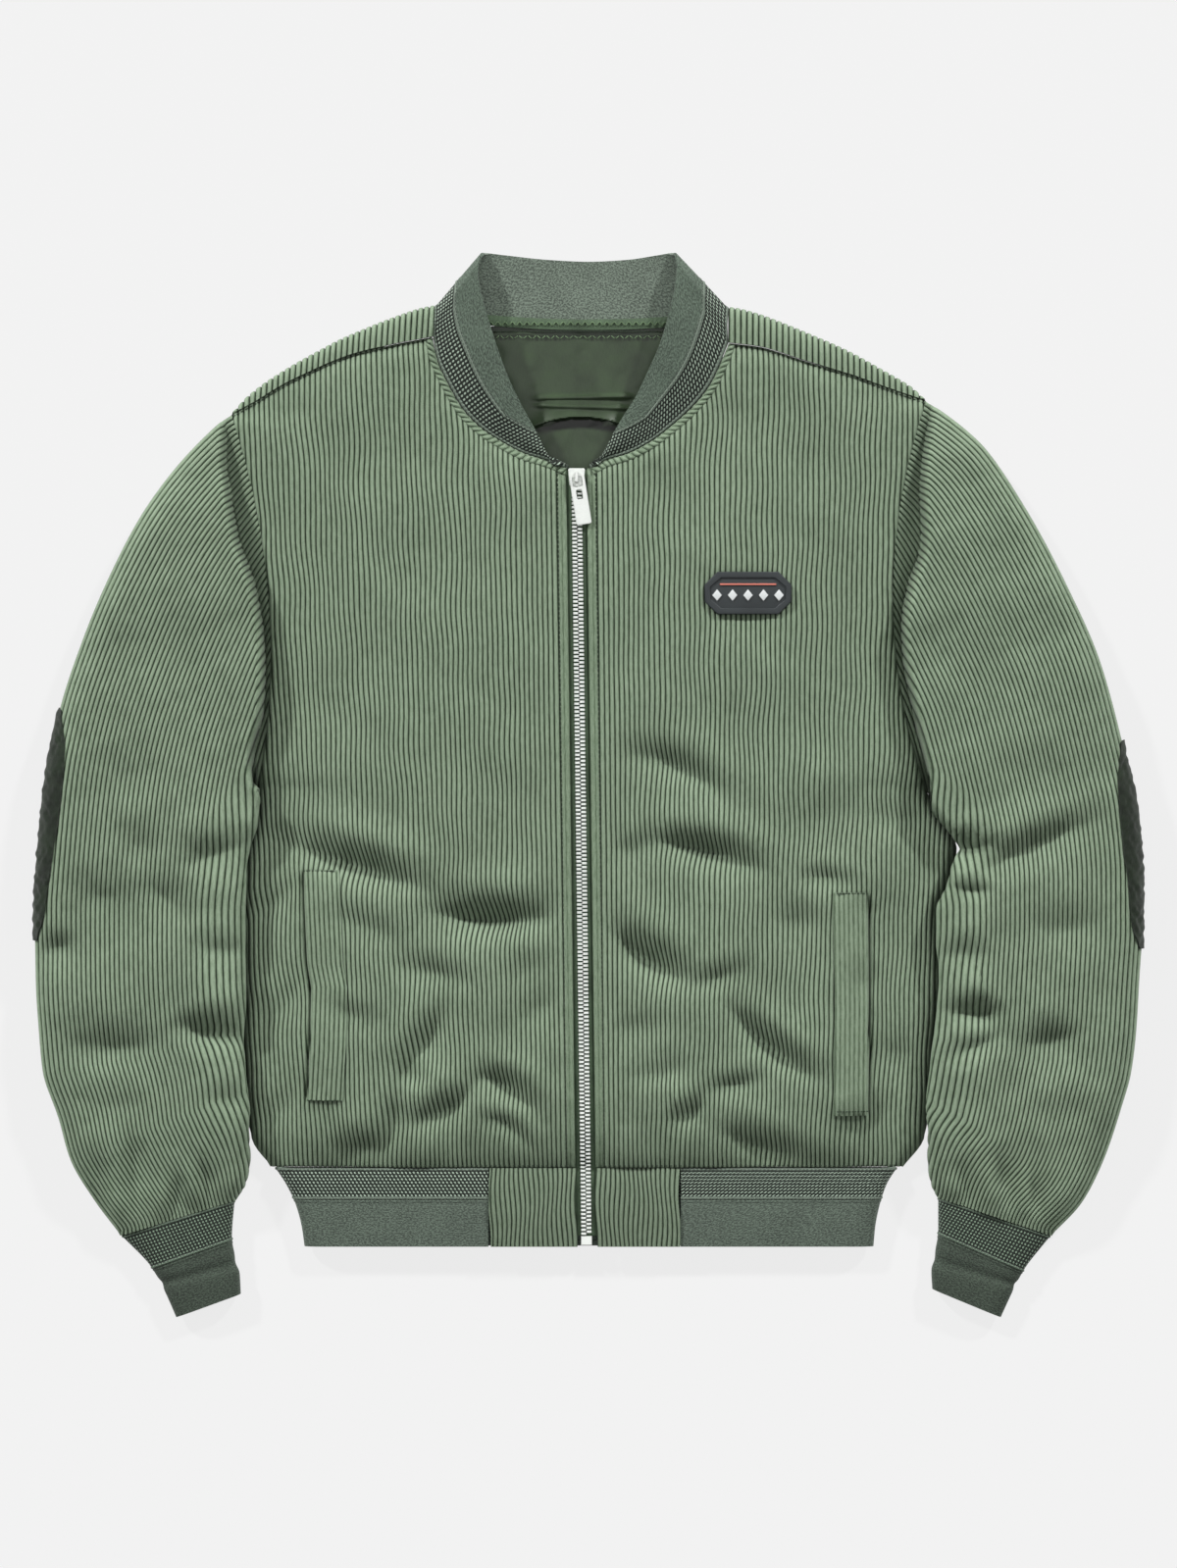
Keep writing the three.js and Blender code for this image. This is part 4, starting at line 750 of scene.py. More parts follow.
def add_sleeve(side):
    sleeve = Sleeve(SLEEVE[side], SLEEVE_FOLDS[side], SLEEVE_OVER[side])
    rows = sleeve.sections(ROW_STEP)
    width = sleeve.width(rows)
    pitch = SLEEVE_PITCH
    samples = np.linspace(0, 1, 90)
    sample_d = samples[None, :] * width[:, None]
    x, y = sleeve.place(rows[:, None], width[:, None] - sample_d)
    from_edge = nearest(x, y, sleeve.outline[::4])[0]
    from_edge = np.maximum.accumulate(from_edge, axis=1)
    top_count = int(from_edge.max() / pitch * WALE_STEPS) + 2
    low_count = int(from_edge.max() / pitch * 2) + 2
    top_waves = np.arange(top_count)[::-1] * pitch / WALE_STEPS
    low_waves = np.arange(1, low_count) * pitch / 2

    def distances(waves):
        return np.array([w - np.interp(waves, f, d) for w, f, d in zip(width, from_edge, sample_d)])

    gather = lerp(1, 0.8, smooth(rows, sleeve.last - 5, sleeve.last))
    from_edge = from_edge / gather[:, None]
    top_d, low_d = distances(top_waves), distances(low_waves)
    s_top, s_low = np.broadcast_to(rows[:, None], top_d.shape), np.broadcast_to(rows[:, None], low_d.shape)
    base = np.concatenate([sleeve.top(s_top, top_d), sleeve.bottom(s_low, low_d)], 1)
    step_s, step_d = 0.05, 0.4
    face = TO_BODY[side]

    def direction(part, s, d):
        inside = np.clip(d, step_d, sleeve.width(s) - step_d)
        up = part(s, inside + step_d) - part(s, inside - step_d)
        safe = np.clip(s, step_s, sleeve.last - step_s)
        share = inside / sleeve.width(s)
        after, before = (part(t, share * sleeve.width(t)) for t in (safe + step_s, safe - step_s))
        return unit(np.cross(up, after - before))

    normals = np.concatenate([direction(sleeve.top, s_top, top_d) * face,
                              -face * direction(sleeve.bottom, s_low, low_d)], 1)
    waves = np.concatenate([np.minimum(top_waves[None, :], from_edge.max(1)[:, None]),
                            np.minimum(low_waves[None, :], from_edge.max(1)[:, None])], 1)
    wobble = 0.5 * soft_noise(base[..., 0], base[..., 1], 40, 5)
    lift, share = wale_height(waves, pitch, WALE_DEPTH)
    grain = np.stack([waves + wobble, base[..., 1], share], -1)
    outer = base + normals * lift[..., None]
    made = shell(f"sleeve_{side}_cloth", outer, base, normals, CLOTH, CORDUROY, grain, ring=True,
                 lowest=CLOTH * 0.6)
    settle(made, "jacket", "corduroy", f"sleeve_{side}")
    return sleeve


def add_cuff(side):
    cuff = Sleeve(CUFF[side])
    rows = cuff.sections(0.55)
    width = cuff.width(rows)
    count = 50
    t_top = 0.5 - 0.5 * np.cos(np.linspace(0, math.pi, count))
    t_low = t_top[::-1][1:-1][::2]
    base = np.concatenate([cuff.top(rows[:, None], t_top[None, :] * width[:, None]),
                           cuff.bottom(rows[:, None], t_low[None, :] * width[:, None])], 1)
    centre = base.mean(1, keepdims=True)
    normals = ring_normals(base, centre)
    length = np.concatenate([[0], np.cumsum(np.linalg.norm(np.diff(centre[:, 0], axis=0), axis=-1))])
    along = np.broadcast_to(length[:, None], base.shape[:2])
    around = np.cumsum(np.linalg.norm(np.diff(base, axis=1, prepend=base[:, -1:]), axis=-1), 1)
    relief, zone = knit_zones(along, CUFF_PIPING)
    fold = 1.2 * bump(along - 42, 4)
    outer = base + normals * (relief - fold)[..., None]
    grain = np.stack([around, along, zone], -1)
    made = shell(f"cuff_{side}_knit", outer, base, normals, RIB, KNIT_CUFF_SHADED, grain, ring=True, row_step=4,
                 column_step=2)
    settle(made, "jacket", "rib", f"cuff_{side}")


def ring_normals(base, centre):
    across = np.roll(base, -1, 1) - np.roll(base, 1, 1)
    down = np.gradient(base, axis=0)
    normal = unit(np.cross(across, down))
    outward = np.sign(np.sum(normal * (base - centre), -1).mean())
    return normal * outward


def knit_zones(along, piping):
    """Relief and zones of a knit band from its seam: a cord, the flecks, a double cord and the plain knit."""
    relief = 0.7 * bump(along - 0.9, 0.7) + 0.8 * bump(along - piping, 0.7)
    relief = relief + 0.4 * bump(along - piping - 2.2, 0.6)
    zone = np.where((along > 1.8) & (along < piping - 1.2), 0.5, 0.0)
    zone = np.where((np.abs(along - 0.9) < 0.6) | (np.abs(along - piping) < 0.7), 1.0, zone)
    return relief, zone


# Fronts


def side_edge(side, sleeve):
    """The x of the side seam and armhole at each y, and the height there."""
    low = SIDE[side]
    d = np.linspace(0, sleeve.width(0.0), 80)
    x, y = sleeve.place(np.zeros(80), d)
    z = sleeve_edge_height(sleeve, d)
    ys = np.concatenate([low["y"][:-1], y])
    zs = np.concatenate([np.full(len(low["y"]) - 2, 2.3), [3.5], z])
    fine = np.linspace(-273, y[-1], 500)
    side_curve = curve(low["y"], low["x"])
    xs_fine = np.where(fine < 0, side_curve(fine), np.interp(fine, y, x + sleeve.face * SEAM))
    zs_fine = np.interp(fine, ys, zs)
    return fine, xs_fine, zs_fine


def sleeve_edge_height(sleeve, d):
    width = sleeve.width(0.0)
    share = rounded(d, SLEEVE_ROLL) * rounded(width - d, SLEEVE_ROLL)
    return lerp(sleeve.edge_z(0.0, d), sleeve.at["crown"](0.0), share)


class Front:
    def __init__(self, side, sleeve):
        self.side, self.face = side, TO_BODY[side]
        self.ys, self.xs, self.zs = side_edge(side, sleeve)
        neck = NECK[side]
        numbers = np.linspace(0, 1, len(neck["x"]))
        t = np.linspace(0, 1, 120)
        self.neck = np.stack([curve(numbers, neck["x"])(t), curve(numbers, neck["y"])(t)], -1)
        tip, end = np.array([self.xs[-1], self.ys[-1]]), self.neck[-1]
        rise = curve(SHOULDER[side]["along"], SHOULDER[side]["rise"])
        share = np.linspace(1, 0, 80)
        line_x, line_y = (lerp(tip[k], end[k], 1 - share) for k in (0, 1))
        self.shoulder = np.stack([line_x, line_y + rise(share)], -1)
        top = np.concatenate([self.neck, self.shoulder[::-1]])
        order = np.argsort(top[:, 0])
        self.top_x, self.top_y = top[order, 0], top[order, 1]

    def zip_edge(self, y):
        return zip_x(y) - self.face * ZIP_CLEAR

    def top_at(self, x):
        return np.interp(x, self.top_x, self.top_y)

    def height(self, x, y):
        side_x = np.interp(y, self.ys, self.xs)
        side_z = np.interp(y, self.ys, self.zs)
        from_side = np.maximum(self.face * (x - side_x), 0)
        to_shoulder = nearest(x, y, self.shoulder[::6])[0]
        to_neck = nearest(x, y, self.neck[::6])[0]
        dip = SEAM_DIP * np.maximum(bump(to_shoulder, DIP_REACH), bump(to_neck, DIP_REACH))
        highness = smooth(y, *ARMPIT_Y)
        turned = lerp(*TURNED_SHARE, highness)
        tucked = smooth(from_side, *TUCK_REACH)
        share = turned * rounded(from_side, lerp(*TURN_ROLL, highness)) + (1 - turned) * tucked
        slit = SLITS[self.side]
        slit_x = np.interp(y, slit["y"], slit["x"])
        inside = smooth(y, slit["y"][0] - 1, slit["y"][0] + 2) * smooth(slit["y"][-1] + 1 - y, 0, 3)
        groove = SLIT_DEPTH * inside * bump(x - slit_x, 1.0)
        groove = groove + PLACKET_DEPTH * bump(np.abs(x - self.zip_edge(y)) - PLACKET, 0.7)
        return lerp(side_z, body_height(x, y) - dip, share) - groove

    def surface(self, x, y):
        return np.stack([x, y, self.height(x, y)], -1)


def add_front(side, sleeve):
    front = Front(side, sleeve)
    y_high = front.top_y.max()
    rows = np.linspace(HEM_SEAM_Y, y_high, int((y_high - HEM_SEAM_Y) / ROW_STEP) + 1)
    across = np.arange(0, int(262 / HEM_PITCH * WALE_STEPS) + 1) / WALE_STEPS
    y = np.broadcast_to(rows[:, None], (len(rows), len(across)))
    x = front.zip_edge(y) - front.face * across[None, :] * wale_pitch(y)
    free = smooth(np.abs(x - front.zip_edge(y)), 4, 50)
    x = x + free * (0.9 * soft_noise(x, y, 75, 6) + 0.28 * fold_sum(BODY_FOLDS, x, y))
    y = np.minimum(y, front.top_at(x))
    side_x = np.interp(y, front.ys, front.xs)
    outside = front.face * (x - side_x) < 0
    x = np.where(outside, side_x, x)
    y = np.minimum(y, front.top_at(x))
    base = front.surface(x, y)
    normals = grid_normals(front.surface, x, y, 0.4, 0.4, 1)
    count = np.where(outside, np.abs(x - front.zip_edge(y)) / wale_pitch(y), across[None, :])
    lift, share = wale_height(count, 1.0, WALE_DEPTH)
    flatter = 0.3 + 0.7 * smooth(np.abs(x - front.zip_edge(y)), PLACKET - 1, PLACKET + 1)
    outer = base + normals * (lift * flatter)[..., None]
    grain = np.stack([count * 3.5, y, lerp(0.75, share, flatter)], -1)
    made = shell(f"front_{side}_cloth", outer, base, normals, CLOTH, CORDUROY, grain, lowest=2.0)
    settle(made, "jacket", "corduroy", f"front_{side}")
    return front


def add_yoke(side, front):
    """From the seam on the front over the shoulder's edge to the back."""
    neck = {"left": (-110, 341), "right": (100.2, 340)}[side]
    tip = front.shoulder[0]
    face = front.face
    length = np.hypot(*(neck[0] - tip[0], neck[1] - tip[1]))
    columns = np.arange(0, length, YOKE_PITCH / WALE_STEPS) / length
    columns = np.append(columns, 1)
    over = np.linspace(0, 1, 16)
    below = table("reach height", [
        (0.03, 0.85), (0.07, 0.65), (0.12, 0.5), (0.25, 0.25), (0.4, 0.12), (0.6, 0), (1, 0),
    ])
    start_x = np.interp(columns, np.linspace(0, 1, len(front.shoulder)), front.shoulder[:, 0])
    start_y = np.interp(columns, np.linspace(0, 1, len(front.shoulder)), front.shoulder[:, 1]) + SEAM
    start_z = front.height(start_x, start_y)
    edge_x = lerp(tip[0] + face * SEAM, neck[0], columns)
    rise = curve(YOKE_EDGE[side]["along"], YOKE_EDGE[side]["rise"])
    edge_y = lerp(tip[1], neck[1], columns) + rise(columns)
    rows = []
    for fraction in over:
        z = lerp(8, start_z + 1.5 * columns, rounded(1 - fraction, 0.8)) + 0.8 * (1 - fraction)
        rows.append(np.stack([lerp(start_x, edge_x, fraction), lerp(start_y, edge_y, fraction), z], -1))
    edge = rows[-1]
    for reach, height in zip(below["reach"], below["height"]):
        back = np.stack([face * 4 * reach * (1 - columns), 0 * columns - 16 * reach, 0 * columns], -1)
        rows.append(edge * (1, 1, height) + back)
    base = np.array(rows)
    normals = unit(np.cross(np.gradient(base, axis=1), np.gradient(base, axis=0))) * face
    count = columns * length / YOKE_PITCH
    lift, share = wale_height(np.broadcast_to(count, base.shape[:2]), 1.0, YOKE_WALE)
    outer = base + normals * lift[..., None]
    outer[..., 2] = np.maximum(outer[..., 2], 0)
    grain = np.stack([np.broadcast_to(count * YOKE_PITCH, share.shape), base[..., 1], share], -1)
    made = shell(f"yoke_{side}_cloth", outer, base, normals, CLOTH, CORDUROY, grain)
    settle(made, "jacket", "corduroy", f"yoke_{side}")


# Hem band and its two blocks


def add_hem():
    left, right = curve(HEM_SIDE["y"], HEM_SIDE["left"]), curve(HEM_SIDE["y"], HEM_SIDE["right"])
    ys = np.linspace(HEM_SIDE["y"][0], HEM_SIDE["y"][-1], 110)
    roll = 14
    shares = 1 - np.cos(np.linspace(0, math.pi / 2, 8))
    rows = []
    for y in ys:
        low_x, high_x, height = float(left(y)), float(right(y)), float(hem_z(y))
        edge = height / 2
        top_left = [(x, y, height) for x in np.linspace(HEM_BLOCK["left"], low_x + roll, 60)]
        top_right = [(x, y, height) for x in np.linspace(high_x - roll, HEM_BLOCK["right"], 60)]

        def turn(x, inward):
            falling = shares[::-1][1:] * roll
            over = [(x + inward * d, y, lerp(edge, height, rounded(d, roll))) for d in falling]
            under = [(x + inward * d * 0.6, y, edge * (1 - rounded(d, roll))) for d in shares[1:] * roll]
            return over + under

        under = [(x, y, 0) for x in np.linspace(low_x + roll * 0.6, high_x - roll * 0.6, 60)[1:-1]]
        rows.append(top_left + turn(low_x, 1) + under + turn(high_x, -1)[::-1] + top_right)
    base = np.array(rows, float)
    normals = unit(np.cross(np.gradient(base, axis=1), np.gradient(base, axis=0)))
    normals *= np.sign(normals[0, 10, 2])
    along = np.broadcast_to((ys[0] - ys)[:, None], base.shape[:2])
    around = np.cumsum(np.linalg.norm(np.diff(base, axis=1, prepend=base[:, :1]), axis=-1), 1)
    relief, zone = knit_zones(along, HEM_PIPING)
    grain = np.stack([around, along, zone], -1)
    outer = base + normals * relief[..., None]
    outer[..., 2] = np.maximum(outer[..., 2], 0)
    made = shell("hem_rib_knit", outer, base, normals, RIB, KNIT_HEM, grain, row_step=4, column_step=2)
    settle(made, "jacket", "rib", "hem_rib")


def add_hem_block(side):
    face = TO_BODY[side]
    pitch = HEM_PITCH
    ys = np.linspace(HEM_SIDE["y"][0], HEM_SIDE["y"][-1], 16)
    block = HEM_BLOCK[side] + face * SEAM
    width = abs(block - (zip_x(-300) - face * ZIP_CLEAR))
    across = np.arange(0, int(width / pitch * WALE_STEPS) + 1) * pitch / WALE_STEPS
    y = np.broadcast_to(ys[:, None], (len(ys), len(across)))
    edge = zip_x(y) - face * ZIP_CLEAR
    x = edge - face * across[None, :] + 0.8 * np.sin(y / 9.0 + across * 0.1)
    x = np.where(face * (x - block) < 0, block, x)
    base = np.stack([x, y, hem_z(y) + 0.6 * np.sin((ys[:, None] + 330) / 57 * math.pi)], -1)
    normals = facing(base, 1)
    lift, share = wale_height(np.broadcast_to(across, x.shape), pitch, BLOCK_WALE)
    outer = base + normals * lift[..., None]
    grain = np.stack([np.broadcast_to(across, x.shape), y, share], -1)
    made = shell(f"hem_block_{side}_cloth", outer, base, normals, RIB, CORDUROY_BLOCK, grain)
    settle(made, "jacket", "corduroy", f"hem_block_{side}")


# Collar, back and lining


def add_collar(fronts):
    seam, edge = [], []
    for side in ("left", "right"):
        front = fronts[side]
        t = np.linspace(0, 1, len(front.neck))
        away = np.gradient(front.neck, axis=0)
        away = unit(np.stack([away[:, 1], -away[:, 0]], -1)) * front.face
        place = front.neck + away * SEAM * 1.4
        z = front.height(front.neck[:, 0], front.neck[:, 1])
        rows = COLLAR_EDGE[side]
        numbers = np.linspace(0, 1, len(rows["x"]))
        free = np.stack([curve(numbers, rows[key])(t) for key in "xyz"], -1)
        seam.append(np.column_stack([place, z]))
        edge.append(free)
    s = np.linspace(0, len(COLLAR_TURN["seamX"]) - 1, 140)
    at = section_curves(COLLAR_TURN)
    turn_seam = np.stack([at[key](s) for key in ("seamX", "seamY", "seamZ")], -1)
    turn_edge = np.stack([at[key](s) for key in ("edgeX", "edgeY", "edgeZ")], -1)
    seam = np.concatenate([seam[0], turn_seam, seam[1][::-1]])
    edge = np.concatenate([edge[0], turn_edge, edge[1][::-1]])
    run = np.concatenate([[0], np.cumsum(np.linalg.norm(np.diff(seam, axis=0), axis=-1))])
    places = np.linspace(0, run[-1], int(run[-1] / (1.3)))

    def spaced(line):
        return np.stack([np.interp(places, run, values) for values in line.T], -1)

    seam, edge = spaced(seam), spaced(edge)
    count = 56
    t = np.linspace(0, 1, count)
    base = seam[:, None, :] * (1 - t)[None, :, None] + edge[:, None, :] * t[None, :, None]
    swell = np.clip((base[..., 2] - 6) / 6, 0, 1) * 2.2 * np.sin(math.pi * t)[None, :]
    base[..., 2] += swell
    normals = unit(np.cross(np.gradient(base, axis=1), np.gradient(base, axis=0)))
    normals *= np.sign(normals[20, 10, 2])
    wide = np.linalg.norm(edge - seam, axis=-1)[:, None]
    along = wide * t[None, :]
    along = along * np.minimum(1, 36 / wide)
    relief, zone = knit_zones(along, COLLAR_PIPING)
    inside_out = smooth(7 - seam[:, 2], 0, 3)[:, None]
    relief, zone = relief * (1 - inside_out), np.where(inside_out > 0.5, 0.12, zone)
    around = np.broadcast_to(places[:, None], along.shape)
    outer = base + normals * relief[..., None]
    outer[..., 2] = np.maximum(outer[..., 2], 0)
    grain = np.stack([around, along, zone], -1)
    made = shell("collar_knit", outer, base, normals, RIB, KNIT, grain, row_step=3, column_step=4)
    settle(made, "jacket", "rib", "collar")


def add_back(fronts):
    """The flat back panel, with its wales underneath."""
    left, right = fronts["left"], fronts["right"]
    rows = np.linspace(HEM_SEAM_Y, 326, 100)
    tops = np.concatenate([left.shoulder, [[-84, 331.5], [0, 326], [78, 331.5]], right.shoulder[::-1]])
    low = np.interp(rows, left.ys, left.xs) + 0.6
    high = np.interp(rows, right.ys, right.xs) - 0.6
    pitch = BACK_PITCH
    steps = 3
    across = np.arange(-int(264 / pitch) * steps, int(264 / pitch) * steps + 1) * pitch / steps
    x = np.clip(np.broadcast_to(across, (len(rows), len(across))), low[:, None], high[:, None])
    top = np.interp(x, tops[:, 0], tops[:, 1]) - 14 * smooth(np.abs(x + 5), 70, 110)
    y = np.minimum(np.broadcast_to(rows[:, None], x.shape), top)
    base = np.stack([x, y, np.full(x.shape, BACK_LIFT)], -1)
    normals = facing(base, -1)
    lift, share = wale_height(x, pitch, BACK_WALE)
    outer = base + normals * lift[..., None]
    grain = np.stack([x, y, share], -1)
    made = shell("back_cloth", outer, base, normals, 1.0, CORDUROY, grain, row_step=5)
    settle(made, "jacket", "corduroy", "back")


def add_lining():
    """The satin inside of the back, seen in the neck, with a soft ridge and a stepped crease, and a painted
    shadow below the crease.
    """
    n = 140
    v, u = np.meshgrid(np.linspace(0, 1, n), np.linspace(-1, 1, n), indexing="ij")
    y = lerp(208, 329 - 2 * u**2, v)
    half = lerp(36, 84, np.sqrt(np.clip(v * 1.6, 0, 1)) * lerp(0.75, 1, v))
    x = -6 + u * half
    level = smooth(x + 44, 0, 16) * smooth(40 - x, 0, 22)
    z = 3.4 + level * (2.0 * bump(y - 277 - 0.02 * x, 1.8) + 1.8 * bump(y - 270 + 0.03 * x, 1.6))
    arch = y - (262 - 10 * (np.abs(x + 6) / 40) ** 2)
    step = smooth(arch, -0.6, 0.9) * np.exp(-np.maximum(arch, 0) / 7)
    z = z + 5.4 * step * bump(x + 6, 46) + 0.5 * soft_noise(x, y, 26, 9)
    z = np.maximum(z, 3.2)
    base = np.stack([x, y, z], -1)
    normals = facing(base, 1)
    # Painted shadow below the crease's step, passed to the satin in the grain's third value.
    shade = bump(arch + 3.5, 4.2) * smooth(44 - np.abs(x + 6), 0, 30)
    grain = np.stack([x, y, shade], -1)
    made = shell("lining_back_cloth", base, base, normals, 0.8, LINING, grain, row_step=6)
    settle(made, "jacket", "lining", "lining_back")
    u, v = np.meshgrid(np.linspace(-74, 70, 200), np.linspace(0, 1, 9), indexing="ij")
    y = lerp(332.5 + 3.5 * (u / 74) ** 2, 325 + 3.5 * (u / 74) ** 2, v)
    z = 5.4 + 0.5 * np.abs(np.sin(u * math.pi / 3.2 + v * 4)) * np.sin(v * math.pi)
    base = np.stack([u, y, z], -1)
    normals = facing(base, 1)
    grain = np.stack([u, v * 7, 0 * u], -1)
    tape = shell("neck_tape_cloth", base, base, normals, 0.9, TAPE, grain)
    settle(tape, "jacket", "tape", "neck_tape")


# Zip


def boxes(name, places, half, material, taper=0.75):
    """Many small blocks, narrower on top, in one mesh. places are the middles of their undersides."""
    corners = np.array([[sx, sy] for sx, sy in ((-1, -1), (1, -1), (1, 1), (-1, 1))], float)
    vertices, faces = [], []
    for x, y, z, *turn in places:
        c, s = (math.cos(turn[0]), math.sin(turn[0])) if turn else (1, 0)
        first = len(vertices)
        for level, size in ((0, 1), (0.65, 1), (1, taper)):
            for sx, sy in corners * size:
                dx, dy = sx * half[0], sy * half[1]
                vertices.append((x + c * dx - s * dy, y + s * dx + c * dy, z + level * half[2] * 2))
        faces.append([first + k for k in (3, 2, 1, 0)])
        for level in (0, 4):
            for k in range(4):
                a, b = first + level + k, first + level + (k + 1) % 4
                faces.append([a, b, b + 4, a + 4])
        faces.append([first + 8 + k for k in range(4)])
    return new_object(name, vertices, faces, material, flat=True)


def chain_height(y):
    return np.where(np.asarray(y) > HEM_SEAM_Y, body_crown(y), hem_z(y))


def add_zip():
    for side in ("left", "right"):
        outward = -TO_BODY[side]
        shift = 0.0 if side == "left" else TOOTH_PITCH / 2
        ys = np.arange(217 - shift, -321, -TOOTH_PITCH)
        places = [(zip_x(y) + outward * 1.9, y, float(chain_height(y)) - 2.0) for y in ys]
        teeth = boxes(f"zip_teeth_{side}_metal", places, (1.85, 0.86, 1.2), METAL)
        settle(teeth, "jacket", "zip_metal", f"zip_teeth_{side}")
        ys = np.linspace(224, -322, 260)
        across = np.linspace(0.5, 12, 14)
        y = np.broadcast_to(ys[:, None], (len(ys), len(across)))
        x = zip_x(y) + outward * across[None, :]
        base = np.stack([x, y, chain_height(y) - 2.9 + 1.6 * bump(across - 5.2, 1.6)[None, :]], -1)
        normals = facing(base, 1)
        grain = np.stack([np.broadcast_to(across, x.shape), y, 0 * x], -1)
        tape = shell(f"zip_tape_{side}_cloth", base, base, normals, 0.9, TAPE, grain, row_step=5)
        settle(tape, "jacket", "tape", f"zip_tape_{side}")
    stop_place = (zip_x(ZIP_STOP_Y), ZIP_STOP_Y, float(hem_z(ZIP_STOP_Y)) - 2.6)
    stop = boxes("zip_stop_metal", [stop_place], (4, 3.2, 1.7), METAL, taper=0.86)
    settle(stop, "jacket", "zip_metal", "zip_stop")


def plate(name, outlines, thickness, bevel=0.3):
    """A flat plate with holes, its edges rounded, lying about z = 0."""
    data = bpy.data.curves.new(name, "CURVE")
    data.dimensions = "2D"
    data.fill_mode = "BOTH"
    data.extrude = (thickness / 2 - bevel) * MM
    data.bevel_depth = bevel * MM
    data.bevel_resolution = 2
    data.offset = -bevel * MM
    for outline in outlines:
        spline = data.splines.new("POLY")
        spline.points.add(len(outline) - 1)
        spline.use_cyclic_u = True
        for target, (x, y) in zip(spline.points, outline):
            target.co = (x * MM, y * MM, 0, 1)
    carrier = bpy.data.objects.new(name + "_curve", data)
    bpy.context.collection.objects.link(carrier)
    bpy.context.view_layer.update()
    mesh = bpy.data.meshes.new_from_object(carrier.evaluated_get(bpy.context.evaluated_depsgraph_get()))
    bpy.data.objects.remove(carrier)
    bpy.data.curves.remove(data)
    vertices = np.array([tuple(v.co) for v in mesh.vertices]) / MM
    faces = [tuple(p.vertices) for p in mesh.polygons]
    bpy.data.meshes.remove(mesh)
    return vertices, faces


def round_corners(left, bottom, right, top, radius, steps=5):
    places = []
    for cx, cy, start in ((right, top, 0), (left, top, 90), (left, bottom, 180), (right, bottom, 270)):
        ix = cx - math.copysign(radius, cx - (left + right) / 2)
        iy = cy - math.copysign(radius, cy - (top + bottom) / 2)
        for k in range(steps + 1):
            angle = math.radians(start + 90 * k / steps)
            places.append((ix + radius * math.cos(angle), iy + radius * math.sin(angle)))
    return places


def add_slider():
    y, length, width = SLIDER_Y, 13, 12
    x = zip_x(y)
    top = float(chain_height(y - length / 2)) + 0.5
    low = float(chain_height(y + length / 2)) - 4.5
    half = [(width / 2 - 1, length / 2), (width / 2, length / 2 - 1), (width * 0.42, -length / 2 + 1),
            (width * 0.34, -length / 2)]
    outline = [(-px, py) for px, py in half[1::-1]] + half + [(-px, py) for px, py in half[:1:-1]]
    thick = 1.4
    vertices, faces = plate("slider_plate", [outline], thick)
    parts = [(vertices + (x, y, top + thick / 2), faces), (vertices + (x, y, low - thick / 2), faces)]
    loop = [round_corners(-4.2, 0, 4.2, 4.4, 1.2), round_corners(-2.8, -1, 2.8, 3.2, 0.8)]
    arch = plate("slider_arch", loop, 2.4, 0.25)
    turned = arch[0][:, [2, 0, 1]]
    parts.append((turned + (x, y, top + 1.2), arch[1]))
    post = plate("slider_post", [round_corners(-0.4, -1, 0.4, 1, 0.2)], top - low + 1, 0.1)
    parts.append((post[0] + (x, y + length / 2 - 1.2, (top + low) / 2), post[1]))
    vertices = np.concatenate([p[0] for p in parts])
    faces, first = [], 0
    for points, polygons in parts:
        faces += [[first + k for k in polygon] for polygon in polygons]
        first += len(points)
    made = new_object("zip_slider_metal", vertices, faces, METAL)
    settle(made, "jacket", "zip_metal", "zip_slider")


def add_pull():
    length, width, bar, opening = 36, 11, 1.8, 7
    slot_length, slot_gap = 9, 2.2
    low_edge = -bar / 2 - opening
    outlines = [
        round_corners(-width / 2, bar / 2 - length, width / 2, bar / 2, 1.6),
        round_corners(-3.2, low_edge, 3.2, -bar / 2, 1),
        round_corners(-2, low_edge - slot_length, 2, low_edge - slot_gap, 0.9),
    ]
    vertices, faces = plate("pull_plate", outlines, 1.5, 0.35)
    x, y, z = vertices.T
    c, s = math.cos(PULL_TILT), math.sin(PULL_TILT)
    turned = np.stack([x * c - y * s, x * s + y * c, z], -1)
    made = new_object("zip_pull_metal", turned + PULL_HINGE, faces, METAL)
    settle(made, "zip_pull", "zip_metal", "zip_pull")


# Pieces that lie on the fronts and sleeves


def add_welt(side, front):
    xs = {"left": (-203, -178), "right": (175, 199)}[side]
    top, bottom = {"left": (-61, -225), "right": (-77, -236)}[side]
    ys = np.linspace(top, bottom, 60)
    pitch = WELT_PITCH
    across = np.arange(0, (xs[1] - xs[0]) * WALE_STEPS / pitch + 0.5) * pitch / WALE_STEPS
    x, y = np.meshgrid(np.minimum(xs[0] + across, xs[1]), ys)
    slit_x = np.interp(y, SLITS[side]["y"], SLITS[side]["x"])
    from_slit = (x - xs[0]) if side == "left" else (xs[1] - x)
    x = slit_x + TO_BODY[side] * (1.1 + from_slit)
    base = front.surface(x, y)
    fall = smooth(from_slit, 12, xs[1] - xs[0])
    base[..., 2] += 1.0 + 1.1 * rounded(from_slit + 0.2, 1.6) - 1.3 * fall
    normals = facing(base, 1)
    lift, share = wale_height(from_slit + 0.6, pitch, WALE_DEPTH)
    outer = base + normals * lift[..., None]
    grain = np.stack([x, y, share], -1)
    made = shell(f"pocket_welt_{side}_cloth", outer, base, normals, 1.0, CORDUROY, grain, column_step=4)
    settle(made, "jacket", "corduroy", f"pocket_welt_{side}")


